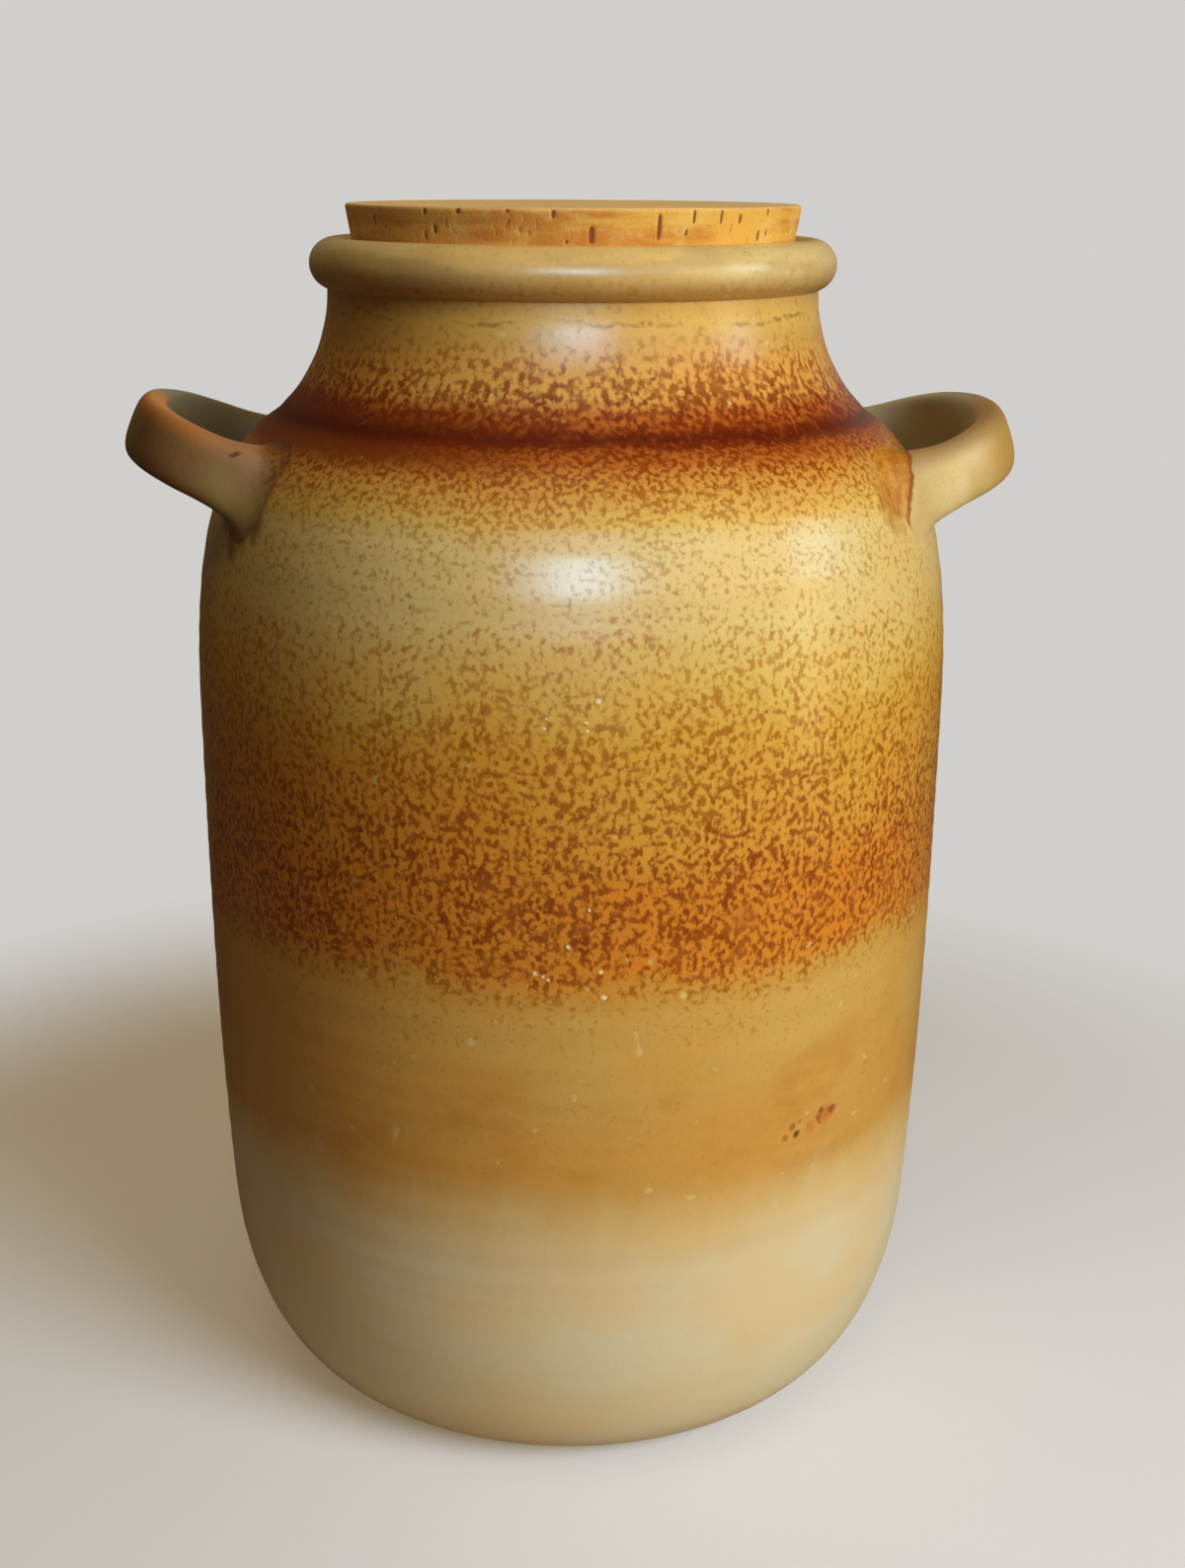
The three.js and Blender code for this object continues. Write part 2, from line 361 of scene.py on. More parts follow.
GLAZE_ZONES = (
    GlazeZone(0 * MM, Tint.FOOT_CLAY, Tint.BUFF_IRON, 0.0),
    GlazeZone(18 * MM, Tint.BUFF, Tint.BUFF_IRON, 0.0),
    GlazeZone(66 * MM, Tint.BUFF, Tint.BUFF_IRON, 0.04),
    GlazeZone(80 * MM, Tint.WASH, Tint.BUFF_IRON, 0.06),
    GlazeZone(91 * MM, Tint.TAN, Tint.BUFF_IRON, 0.09),
    GlazeZone(106 * MM, Tint.TAN, Tint.BUFF_IRON, 0.11),
    GlazeZone(122 * MM, Tint.PALE_TAN, Tint.BUFF_IRON, 0.09),
    GlazeZone(134 * MM, Tint.PALE_TAN, Tint.TAWNY_IRON, 0.20),
    GlazeZone(140 * MM, Tint.WARM_TAN, Tint.ORANGE_IRON, 0.40),
    GlazeZone(146 * MM, Tint.AMBER, Tint.IRON, 0.48),
    GlazeZone(165 * MM, Tint.AMBER, Tint.DARK_IRON, 0.50),
    GlazeZone(178 * MM, Tint.GOLD, Tint.IRON, 0.48),
    GlazeZone(202 * MM, Tint.HONEY, Tint.ORANGE_IRON, 0.44),
    GlazeZone(214 * MM, Tint.OCHRE, Tint.TAWNY_IRON, 0.40),
    GlazeZone(230 * MM, Tint.CREAM, Tint.TAWNY_IRON, 0.32),
    GlazeZone(245 * MM, Tint.CREAM, Tint.OLIVE_IRON, 0.32),
    GlazeZone(250 * MM, Tint.OCHRE, Tint.TAWNY_IRON, 0.40),
    GlazeZone(255 * MM, Tint.SAND, Tint.ORANGE_IRON, 0.46),
    GlazeZone(259 * MM, Tint.COPPER, Tint.IRON, 0.50),
    GlazeZone(262.4 * MM, Tint.RUST, Tint.DARK_IRON, 0.52),
    GlazeZone(264.8 * MM, Tint.BROWN, Tint.RED_IRON, 0.56),
    GlazeZone(266.0 * MM, Tint.CREASE, Tint.CREASE_IRON, 0.78),
    GlazeZone(267.4 * MM, Tint.CREASE, Tint.CREASE_IRON, 0.70),
    GlazeZone(269.4 * MM, Tint.BROWN, Tint.RED_IRON, 0.58),
    GlazeZone(271.8 * MM, Tint.RUST, Tint.RED_IRON, 0.56),
    GlazeZone(275.4 * MM, Tint.SAND, Tint.DARK_IRON, 0.56),
    GlazeZone(279 * MM, Tint.SAND, Tint.IRON, 0.48),
    GlazeZone(283.5 * MM, Tint.SAND, Tint.ORANGE_IRON, 0.38),
    GlazeZone(287.5 * MM, Tint.PALE_TAN, Tint.TAWNY_IRON, 0.32),
    GlazeZone(292 * MM, Tint.OCHRE, Tint.OLIVE_IRON, 0.24),
    GlazeZone(298.4 * MM, Tint.POOLED, Tint.TAWNY_IRON, 0.30),
    GlazeZone(303 * MM, Tint.BEAD, Tint.OLIVE_IRON, 0.14),
)


@dataclass(frozen=True)
class GlazeMark:
    """A small mark in the glaze, placed by its azimuth to the right of the camera and its height."""

    azimuth: float
    height: float
    radius: float
    tint: Tint
    depth: float = 0.0
    strength: float = 0.85

    def place(self, jar_radius: float) -> Vector:
        """Where the mark lies on a jar of that radius."""
        return on_round(self.azimuth, jar_radius, self.height)


SCAR_MARKS = (
    GlazeMark(40.5, 99.3 * MM, 3.0 * MM, Tint.BLUSH, 0.15 * MM, 0.75),
    GlazeMark(37.6, 97.3 * MM, 2.2 * MM, Tint.BLUSH, 0.1 * MM, 0.5),
    GlazeMark(42.0, 100.0 * MM, 1.5 * MM, Tint.SCAR, 0.35 * MM),
    GlazeMark(39.6, 100.9 * MM, 1.1 * MM, Tint.SCAR, 0.35 * MM),
    GlazeMark(39.2, 99.1 * MM, 1.2 * MM, Tint.SCAR, 0.25 * MM, 0.7),
    GlazeMark(39.4, 97.8 * MM, 0.8 * MM, Tint.SCAR, 0.2 * MM, 0.6),
    GlazeMark(34.9, 96.7 * MM, 1.15 * MM, Tint.PIT, 0.7 * MM),
    GlazeMark(32.8, 96.5 * MM, 1.2 * MM, Tint.SCAR, 0.25 * MM, 0.55),
    GlazeMark(34.1, 99.1 * MM, 1.2 * MM, Tint.SCAR, 0.25 * MM, 0.7),
    GlazeMark(35.4, 99.9 * MM, 0.7 * MM, Tint.SCAR, 0.2 * MM, 0.5),
)

# Painted highlights: tiny white glints on the glaze, and two larger pale spots in cream.
GLINTS_AND_PALE_SPOTS = tuple(
    GlazeMark(azimuth, height * MM, radius * MM, tint)
    for azimuth, height, radius, tint in (
        (3.6, 212.6, 0.75, Tint.PAINTED_GLINT),
        (2.0, 207.6, 0.45, Tint.PAINTED_GLINT),
        (2.2, 205.8, 0.4, Tint.PAINTED_GLINT),
        (-3.1, 208.4, 0.4, Tint.PAINTED_GLINT),
        (-3.4, 206.2, 0.45, Tint.PAINTED_GLINT),
        (2.6, 163.0, 0.5, Tint.PAINTED_GLINT),
        (-0.2, 154.0, 0.6, Tint.PAINTED_GLINT),
        (-4.6, 147.2, 0.5, Tint.PAINTED_GLINT),
        (-3.6, 146.4, 0.45, Tint.PAINTED_GLINT),
        (-2.8, 145.6, 0.55, Tint.PAINTED_GLINT),
        (4.2, 147.8, 0.6, Tint.PAINTED_GLINT),
        (4.6, 141.2, 0.7, Tint.PAINTED_GLINT),
        (15.6, 140.4, 1.0, Tint.CREAM),
        (-13.5, 128.5, 1.2, Tint.CREAM),
    )
)

KILN_SPOTS = (
    GlazeMark(-11.0, 210.0 * MM, 1.7 * MM, Tint.SCAR, 0.0, 0.6),
    GlazeMark(10.6, 224.5 * MM, 1.2 * MM, Tint.SCAR, 0.0, 0.5),
    GlazeMark(24.0, 158.0 * MM, 4.6 * MM, Tint.RUST, 0.0, 0.4),
)


@dataclass(frozen=True)
class RootWash:
    """A patch of the jar where the glaze ran smooth by a handle's root, with strands in it."""

    azimuth: float
    height: float
    jar_radius: float
    reach: float
    ground: Tint
    strand: Tint

    @property
    def place(self) -> Vector:
        """The middle of the patch."""
        return on_round(self.azimuth, self.jar_radius, self.height)


ROOT_WASHES = (
    RootWash(60.5, 250.0 * MM, 90.6 * MM, 11.0 * MM, Tint.SCORCH, Tint.ORANGE_IRON),
    # Painted shade: the left patch is laid in darker browns, on the crock's shaded side.
    RootWash(-60.0, 247.0 * MM, 92.0 * MM, 15.0 * MM, Tint.SHADED_BROWN, Tint.SHADED_OLIVE),
)


@dataclass(frozen=True)
class StonewareGlaze:
    """The glaze that runs over jar and handles alike, as node groups that read a position on the crock."""

    jar_height: float
    speck_scale: float = 690.0
    fine_scale: float = 760.0
    neck_scale: float = 600.0
    speck_edge: float = 0.12
    warm_cast: Colour = (1.02, 0.94, 0.84, 1.0)
    cool_cast: Colour = (0.985, 1.02, 1.08, 1.0)
    tan_band: Window = (80 * MM, 94 * MM, 110 * MM, 134 * MM)
    glossy_band: Window = (136 * MM, 150 * MM, 196 * MM, 214 * MM)
    red_band: Window = (146 * MM, 160 * MM, 188 * MM, 210 * MM)
    # Where painted shade darkens the crease on the crock's left.
    crease_shade_band: Window = (257 * MM, 264 * MM, 268 * MM, 276 * MM)
    break_height: float = 291.5 * MM
    red_side: Span = (15 * MM, -60 * MM)
    crease_shade_side: Span = (5 * MM, -55 * MM)
    steady_rise: Span = (222 * MM, 258 * MM)
    fine_rise: Span = (224 * MM, 240 * MM)
    fine_fall: Span = (142 * MM, 132 * MM)
    neck_rise: Span = (264 * MM, 269 * MM)
    bead_rise: Span = (297 * MM, 301 * MM)
    grain_rise: Span = (70 * MM, 150 * MM)
    gloss_rise: Span = (70 * MM, 100 * MM)
    neck_dulling: Span = (268 * MM, 282 * MM)
    buff_roughness: float = 0.46
    glaze_roughness: float = 0.3
    band_roughness: float = 0.22

    def uneven_height(self) -> bpy.types.NodeTree:
        """Wires the height at a position, shifted a little so that bands run unevenly.

        Returns:
            The node group.
        """
        group = Group("Uneven height", {"Position": VECTOR}, {"Height": FLOAT})
        w, position = group.wiring, group.entry["Position"]
        height = w.axes(position)["Z"]
        drift = 0.0
        for scale, lengthen, size in ((9.0, 1.0, 15 * MM), (42.0, 0.6, 10 * MM), (170.0, 0.3, 5 * MM)):
            wave = w.noise(w.stretch(position, (1.0, 1.0, lengthen)), scale)
            drift = w.math("MULTIPLY_ADD", w.math("SUBTRACT", wave, 0.5), size, drift)
        loose = w.spread(height, *self.steady_rise, 1.0, 0.22)
        group.put("Height", w.math("MULTIPLY_ADD", drift, loose, height))
        return group.tree

    def iron_specks(self) -> bpy.types.NodeTree:
        """Wires the soft specks and network of iron, finer or coarser where it is told so.

        Returns:
            The node group.
        """
        inputs = {"Position": VECTOR, "Cover": FLOAT, "Fine": FLOAT, "Coarse": FLOAT}
        group = Group("Iron specks", inputs, {"Mask": FLOAT})
        w, position = group.wiring, group.entry["Position"]
        pattern = w.noise(w.stretch(position, (1.0, 1.0, 0.85)), self.speck_scale, 1.5)
        pattern = w.between(group.entry["Fine"], pattern, w.noise(position, self.fine_scale, 1.0))
        dashes = w.noise(w.stretch(position, (1.0, 1.0, 0.8)), self.neck_scale)
        pattern = w.between(group.entry["Coarse"], pattern, dashes)
        patchy = w.math("ADD", group.entry["Cover"], w.sway(position, 60.0, 0.07))
        level = w.spread(patchy, 0.0, 1.0, 0.76, 0.26)
        low = w.math("SUBTRACT", level, self.speck_edge)
        specks = w.step(pattern, low, w.math("ADD", level, self.speck_edge))
        strength = w.spread(w.noise(position, 210.0), 0.3, 0.7, 0.75, 1.0)
        present = w.step(group.entry["Cover"], 0.04, 0.12)
        group.put("Mask", w.times(specks, strength, present))
        return group.tree

    def glaze(self) -> bpy.types.NodeTree:
        """Wires the glaze's colour, roughness, relief and gloss at a position on the crock.

        Returns:
            The node group.
        """
        outputs = {"Colour": COLOUR, "Roughness": FLOAT, "Relief": FLOAT, "Gloss": FLOAT}
        group = Group("Stoneware glaze", {"Position": VECTOR}, outputs)
        w, position = group.wiring, group.entry["Position"]
        height = w.group(self.uneven_height(), {"Position": position}).outputs["Height"]
        place = w.math("DIVIDE", height, self.jar_height, clamp=True)
        places = [zone.height / self.jar_height for zone in GLAZE_ZONES]
        grounds = [(*zone.ground.linear[:3], zone.cover) for zone in GLAZE_ZONES]
        ground = w.ramp(place, list(zip(places, grounds)))
        irons = [zone.iron.linear for zone in GLAZE_ZONES]
        iron = w.ramp(place, list(zip(places, irons))).outputs["Color"]
        over_crease = w.step(height, *self.neck_rise)
        by_crease = w.times(w.step(height, *self.fine_rise), w.inverse(over_crease))
        fine = w.math("MAXIMUM", by_crease, w.step(height, *self.fine_fall))
        feeds = {"Position": position, "Cover": ground.outputs["Alpha"], "Fine": fine, "Coarse": over_crease}
        specks = w.group(self.iron_specks(), feeds).outputs["Mask"]
        clouds = w.noise(w.stretch(position, (1.0, 1.0, 2.0)), 19.0, 3.0)
        cast = w.mix(w.step(clouds, 0.36, 0.64), self.warm_cast, self.cool_cast)
        colour = w.mix(1.0, ground.outputs["Color"], cast, "MULTIPLY")
        colour = self.scorch(w, position, height, colour)
        grain = w.noise(w.stretch(position, (1.0, 1.0, 0.8)), 820.0)
        depth = w.spread(height, *self.grain_rise, 0.05, 0.14)
        shade = w.math("MULTIPLY_ADD", w.math("SUBTRACT", grain, 0.5), depth, 1.0)
        colour = w.add("ShaderNodeVectorMath", {0: colour, "Scale": shade}, operation="SCALE").outputs[0]
        colour = w.mix(specks, colour, iron)
        colour = self.brushed_bead(w, position, height, colour)
        colour = self.break_line(w, position, height, colour)
        gloss = w.step(height, *self.gloss_rise)
        plain = w.between(gloss, self.buff_roughness, self.glaze_roughness)
        base = w.between(w.window(height, self.glossy_band), plain, self.band_roughness)
        roughness = w.math("MULTIPLY_ADD", specks, 0.05, base)
        peel = w.noise(position, 420.0, 3.0, 0.6)
        relief = w.math("SUBTRACT", peel, w.times(specks, 0.15))
        group.put("Colour", colour)
        group.put("Roughness", roughness)
        group.put("Relief", relief)
        group.put("Gloss", w.times(gloss, w.spread(height, *self.neck_dulling, 1.0, 0.4)))
        return group.tree

    def scorch(self, w: Wiring, position: Socket, height: Socket, colour: Socket) -> Socket:
        """Draws the redder left of the band, painted shade on the left of the crease, the tan clouds and pale
        grains.

        Args:
            w: The wiring of the glaze.
            position: The position on the crock.
            height: The uneven height there.
            colour: The colour so far.

        Returns:
            The colour with all of these.
        """
        across = w.axes(position)["X"]
        left_of_band = w.step(across, *self.red_side)
        colour = w.tinge(colour, Tint.AMBER, w.window(height, self.red_band), left_of_band, 0.65)
        # Painted shade: the crease is darkened on the crock's left, where the light falls off.
        left_of_crease = w.step(across, *self.crease_shade_side)
        colour = w.tinge(colour, Tint.PIT, w.window(height, self.crease_shade_band), left_of_crease, 0.8)
        clouds = w.step(w.noise(w.stretch(position, (1.0, 1.0, 1.7)), 34.0, 4.0, 0.6), 0.46, 0.7)
        colour = w.tinge(colour, Tint.SCORCH, w.window(height, self.tan_band), clouds, 0.6)
        grains = w.step(w.noise(position, 330.0, 0.0), 0.79, 0.85)
        return w.tinge(colour, Tint.CREAM, grains, 0.6)

    def strands(self) -> bpy.types.NodeTree:
        """Wires the upright strands of iron where the glaze ran down.

        Returns:
            The node group.
        """
        group = Group("Glaze strands", {"Position": VECTOR}, {"Mask": FLOAT})
        w = group.wiring
        runs = w.noise(w.stretch(group.entry["Position"], (1.0, 1.0, 0.14)), 520.0)
        group.put("Mask", w.step(runs, 0.42, 0.62))
        return group.tree

    def brushed_bead(self, w: Wiring, position: Socket, height: Socket, colour: Socket) -> Socket:
        """Draws the olive smears that the brush left round the bead.

        Args:
            w: The wiring of the glaze.
            position: The position on the crock.
            height: The uneven height there.
            colour: The colour so far.

        Returns:
            The colour with the smears.
        """
        streaks = w.noise(w.stretch(position, (1.0, 1.0, 4.5)), 42.0, 3.0)
        on_bead = w.step(height, *self.bead_rise)
        return w.tinge(colour, Tint.BEAD_OLIVE, on_bead, w.step(streaks, 0.44, 0.68), 0.55)

    def break_line(self, w: Wiring, position: Socket, height: Socket, colour: Socket) -> Socket:
        """Draws the thin, broken line where the glaze thins under the bead.

        Args:
            w: The wiring of the glaze.
            position: The position on the crock.
            height: The uneven height there.
            colour: The colour so far.

        Returns:
            The colour with the line.
        """
        wave = w.spread(w.noise(position, 65.0, 3.0), 0.25, 0.75, -1.8 * MM, 1.8 * MM)
        off = w.math("ABSOLUTE", w.math("SUBTRACT", w.math("ADD", height, wave), self.break_height))
        line = w.inverse(w.step(off, 0.0, 0.9 * MM))
        gaps = w.step(w.noise(position, 48.0), 0.4, 0.58)
        crumbs = w.step(w.noise(position, 620.0), 0.36, 0.6)
        return w.tinge(colour, Tint.BREAK_LINE, line, gaps, crumbs, 0.65)


def new_material(name: str) -> tuple[bpy.types.Material, Wiring, Socket]:
    """Starts an empty node material.

    Args:
        name: The material's name.

    Returns:
        The material, its wiring and the position on the crock.
    """
    material = bpy.data.materials.new(name)
    material.use_nodes = True
    material.node_tree.nodes.clear()
    w = Wiring(material.node_tree)
    return material, w, w.add("ShaderNodeTexCoord").outputs["Object"]


def close_material(w: Wiring, feeds: Feeds, relief: Socket, depth: float) -> None:
    """Ends a material with its shader and its relief.

    Args:
        w: The material's wiring.
        feeds: What goes into the shader.
        relief: The height of the fine relief, about 0 to 1.
        depth: How deep that relief is, in metres.
    """
    bump = w.add("ShaderNodeBump", {"Height": relief, "Strength": 1.0, "Distance": depth})
    shader = w.add("ShaderNodeBsdfPrincipled", {**feeds, "Normal": bump.outputs["Normal"]})
    w.add("ShaderNodeOutputMaterial", {"Surface": shader.outputs["BSDF"]})


def dot(w: Wiring, position: Socket, mark: GlazeMark, wall_radius: float, colour: Socket) -> Socket:
    """Lays a mark on a glaze, at its azimuth and height whatever the depth of the surface there.

    Args:
        w: The material's wiring.
        position: The position on the crock.
        mark: The mark.
        wall_radius: The radius at which the mark has its own size.
        colour: The colour so far.

    Returns:
        The colour with the mark.
    """
    outward = w.vector("NORMALIZE", w.stretch(position, (1.0, 1.0, 0.0)))[0]
    rise = w.stretch(position, (0.0, 0.0, 1.0))
    on_wall = w.vector("MULTIPLY_ADD", outward, (wall_radius,) * 3, rise)[0]
    away = w.distance(on_wall, tuple(mark.place(wall_radius)))
    ragged = w.math("ADD", away, w.sway(position, 1200.0, 0.25 * MM))
    inside = w.step(ragged, mark.radius * 1.2, mark.radius * 0.4)
    return w.tinge(colour, mark.tint, inside, mark.strength)


@dataclass(frozen=True)
class JarFinish:
    """The jar's finish: banded glaze outside, brown liner glaze inside and bare clay under the foot."""

    glaze: bpy.types.NodeTree
    strands: bpy.types.NodeTree
    belly_radius: float
    liner_roughness: float = 0.28
    clay_roughness: float = 0.85

    def washes(self, w: Wiring, position: Socket, colour: Socket) -> Socket:
        """Smooths the glaze by the handles' roots, with painted shade in the patch on the left.

        Args:
            w: The material's wiring.
            position: The position on the crock.
            colour: The colour so far.

        Returns:
            The colour with the washes.
        """
        strands = w.group(self.strands, {"Position": position}).outputs["Mask"]
        ragged = w.sway(position, 150.0, 3 * MM)
        for wash in ROOT_WASHES:
            away = w.math("ADD", w.distance(position, tuple(wash.place)), ragged)
            inside = w.step(away, wash.reach, wash.reach * 0.5)
            colour = w.mix(inside, colour, w.mix(strands, wash.ground.linear, wash.strand.linear))
        return colour

    def marks(self, w: Wiring, position: Socket, colour: Socket) -> Socket:
        """Adds the painted glints and the pale spots, the kiln spots and the rust scar.

        Args:
            w: The material's wiring.
            position: The position on the crock.
            colour: The colour so far.

        Returns:
            The colour with the marks.
        """
        for mark in (*KILN_SPOTS, *SCAR_MARKS, *GLINTS_AND_PALE_SPOTS):
            colour = dot(w, position, mark, self.belly_radius, colour)
        return colour

    def material(self) -> bpy.types.Material:
        """Wires the glaze, liner and bare clay.

        Returns:
            The finished material.
        """
        material, w, position = new_material("jar_glaze")
        glaze = w.group(self.glaze, {"Position": position}).outputs
        liner, bare = w.attribute("liner"), w.attribute("bare")
        colour = self.marks(w, position, self.washes(w, position, glaze["Colour"]))
        streaks = w.noise(w.stretch(position, (1.0, 1.0, 0.35)), 60.0, 3.0)
        lined = w.mix(w.step(streaks, 0.35, 0.7), Tint.LINER.linear, Tint.BUFF_IRON.linear)
        colour = w.mix(liner, colour, lined)
        colour = w.tinge(colour, Tint.FOOT_CLAY, bare)
        glazed = w.between(liner, glaze["Roughness"], self.liner_roughness)
        feeds = {
            "Base Color": colour,
            "Roughness": w.between(bare, glazed, self.clay_roughness),
            "Coat Weight": w.times(w.inverse(bare), w.spread(glaze["Gloss"], 0.0, 1.0, 0.06, 0.22)),
            "Coat Roughness": 0.2,
        }
        close_material(w, feeds, glaze["Relief"], GLAZE_DEPTH)
        return material


@dataclass(frozen=True)
class HandleFinish:
    """The handles' finish: olive glaze that breaks to rust on the left front edge and runs into the jar's
    glaze, with painted shade inside the loops, on the other top edges and over the left handle.
    """

    glaze: bpy.types.NodeTree
    strands: bpy.types.NodeTree
    right_seam: float = 80 * MM
    left_seam: float = 77.5 * MM
    tip_fade: Span = (93 * MM, 108 * MM)
    rust_rise: Span = (84 * MM, 95 * MM)
    nick_radius: float = 93.9 * MM
    nick: GlazeMark = GlazeMark(-58.4, 259.9 * MM, 0.8 * MM, Tint.PIT)

    def runs(self, w: Wiring, position: Socket, reach: Socket, side: Socket, colour: Socket) -> Socket:
        """Lets the jar's glaze run over the handles' roots, on the right up to a thin dark seam, and darkens
        it on the left as painted shade.

        Args:
            w: The material's wiring.
            position: The position on the crock.
            reach: How far that is to the side of the crock's middle.
            side: 0 on the right handle and 1 on the left.
            colour: The colour so far.

        Returns:
            The colour with the run and the seam.
        """
        wavy = w.math("ADD", reach, w.sway(position, 200.0, 0.8 * MM, 3.0))
        past = w.math("SUBTRACT", wavy, w.between(side, self.right_seam, self.left_seam))
        right = w.inverse(side)
        run = w.group(self.glaze, {"Position": position}).outputs["Colour"]
        strands = w.group(self.strands, {"Position": position}).outputs["Mask"]
        run = w.tinge(run, Tint.SCORCH, right, 0.7)
        run = w.tinge(run, Tint.ORANGE_IRON, strands, right, 0.75)
        # Painted shade: the run over the left root is darkened.
        run = w.tinge(run, Tint.ROOT_SHADE, side, 0.75)
        soft = w.spread(side, 0.0, 1.0, 0.3 * MM, 3 * MM)
        colour = w.mix(w.step(past, soft, w.times(soft, -1.0)), colour, run)
        line = w.step(w.math("ABSOLUTE", past), 0.75 * MM, 0.15 * MM)
        return w.tinge(colour, Tint.DARK_IRON, right, line, 0.8)

    def material(self) -> bpy.types.Material:
        """Wires the handles' glaze.

        Returns:
            The finished material.
        """
        material, w, position = new_material("handle_glaze")
        glaze = w.group(self.glaze, {"Position": position}).outputs
        upper, inner = w.attribute("upper"), w.attribute("inner")
        axes = w.axes(position)
        left = w.step(axes["X"], 20 * MM, -20 * MM)
        front = w.step(axes["Y"], 12 * MM, -12 * MM)
        reach = w.math("ABSOLUTE", axes["X"])
        tip = w.step(reach, *self.tip_fade)
        cloud = w.noise(position, 38.0, 3.0)
        grain = w.noise(position, 1300.0, 1.5)
        golden = w.mix(w.step(cloud, 0.35, 0.68), Tint.OLIVE.linear, Tint.HANDLE_PALE.linear)
        golden = w.tinge(golden, Tint.HANDLE_TIP, tip, 0.85)
        # Painted shade: the left handle takes a darker copy of the glaze, on the crock's shaded side.
        shaded_left = w.mix(w.step(cloud, 0.4, 0.62), Tint.SHADED_BROWN.linear, Tint.SHADED_OLIVE.linear)
        colour = w.mix(left, golden, shaded_left)
        colour = w.tinge(colour, Tint.BUFF_IRON, w.step(grain, 0.52, 0.72), 0.2)
        uneven = w.spread(cloud, 0.3, 0.7, 0.95, 0.75)
        colour = w.tinge(colour, Tint.HANDLE_SHADE, w.step(inner, 0.6, 0.95), uneven)
        # The top edges: real rust on the left front, painted shade on the right front and on both back
        # straps.
        worn_and_shaded_edge = w.times(w.step(upper, 0.66, 0.95), w.spread(cloud, 0.3, 0.7, 0.6, 1.0), 0.85)
        rust = w.mix(w.step(reach, *self.rust_rise), Tint.HANDLE_BLUSH.linear, Tint.HANDLE_EDGE.linear)
        rim = w.mix(front, Tint.HANDLE_SHADE.linear, w.mix(left, Tint.HANDLE_TOP_SHADE.linear, rust))
        colour = w.mix(worn_and_shaded_edge, colour, rim)
        colour = self.runs(w, position, reach, left, colour)
        colour = dot(w, position, self.nick, self.nick_radius, colour)
        feeds = {
            "Base Color": colour,
            "Roughness": w.math("ADD", glaze["Roughness"], w.spread(inner, 0.0, 1.0, 0.2, 0.4)),
            "Specular IOR Level": 0.3,
        }
        close_material(w, feeds, glaze["Relief"], GLAZE_DEPTH)
        return material


@dataclass(frozen=True)
class CorkFinish:
    """Natural cork: layers of growth lying flat, fine grain, dark lenticels through them and a greyed top."""

    top: float

    def material(self) -> bpy.types.Material:
        """Wires the cork.

        Returns:
            The finished material.
        """
        material, w, position = new_material("cork")
        pit = w.attribute("pit")
        layers = w.noise(w.stretch(position, (1.0, 1.0, 9.0)), 30.0, 3.0)
        cloud = w.noise(w.stretch(position, (1.0, 1.0, 1.6)), 120.0, 4.0, 0.6)
        grain = w.noise(position, 1100.0)
        pores = w.noise(w.stretch(position, (1.0, 1.0, 0.4)), 420.0)
        colour = w.mix(w.step(layers, 0.42, 0.62), Tint.CORK.linear, Tint.CORK_BAND.linear)
        colour = w.tinge(colour, Tint.CORK_PALE, w.step(cloud, 0.45, 0.7), 0.6)
        colour = w.tinge(colour, Tint.CORK_BAND, w.step(grain, 0.5, 0.75), 0.35)
        colour = w.tinge(colour, Tint.LENTICEL, w.step(pores, 0.64, 0.74), 0.4)
        on_top = w.step(w.axes(position)["Z"], self.top - 0.8 * MM, self.top)
        colour = w.tinge(colour, Tint.CORK_TOP, on_top, 0.7)
        colour = w.tinge(colour, Tint.LENTICEL, w.step(pit, 0.15, 0.6))
        feeds = {"Base Color": colour, "Roughness": w.spread(grain, 0.3, 0.7, 0.68, 0.85)}
        relief = w.math("SUBTRACT", grain, w.step(pores, 0.6, 0.72))
        close_material(w, feeds, relief, 0.12 * MM)
        return material


def new_piece(bm: bmesh.types.BMesh, name: str, material: bpy.types.Material) -> bpy.types.Object:
    """Makes an object of a finished mesh.

    Args:
        bm: The mesh, which is freed.
        name: The object's name.
        material: Its finish.

    Returns:
        The object, at the origin.
    """
    mesh = bpy.data.meshes.new(name)
    bm.to_mesh(mesh)
    bm.free()
    mesh.materials.append(material)
    piece = bpy.data.objects.new(name, mesh)
    bpy.context.scene.collection.objects.link(piece)
    return piece


def smooth_faces(bm: bmesh.types.BMesh, sharp_angle: float = math.radians(40)) -> None:
    """Shades a mesh smoothly, apart from its sharp edges.

    Args:
        bm: The mesh.
        sharp_angle: From which angle between two faces their edge is sharp.
    """
    for face in bm.faces:
        face.smooth = True
    for edge in bm.edges:
        edge.smooth = edge.is_manifold and edge.calc_face_angle(0.0) < sharp_angle


def flat(radius: float, height: float) -> Vector:
    """A point of a profile, which lies in the XZ plane."""
    return Vector((radius, 0.0, height))


def curve(start: Vector, start_pull: Vector, end_pull: Vector, end: Vector, spacing: float) -> list[Vector]:
    """The points of a cubic curve after its first one.

    Args:
        start: Where it starts.
        start_pull: From the start to the start's handle.
        end_pull: From the end to the end's handle.
        end: Where it ends.
        spacing: About how far apart the points are.

    Returns:
        The points, up to the end.
    """
    count = max(3, math.ceil((end - start).length / spacing) + 1)
    return interpolate_bezier(start, start + start_pull, end + end_pull, end, count)[1:]


def arc(centre: Vector, radius: float, from_angle: float, to_angle: float, steps: int) -> list[Vector]:
    """The points of a circular arc in the XZ plane."""
    angles = (from_angle + (to_angle - from_angle) * i / steps for i in range(steps + 1))
    return [centre + radius * flat(math.cos(a), math.sin(a)) for a in angles]


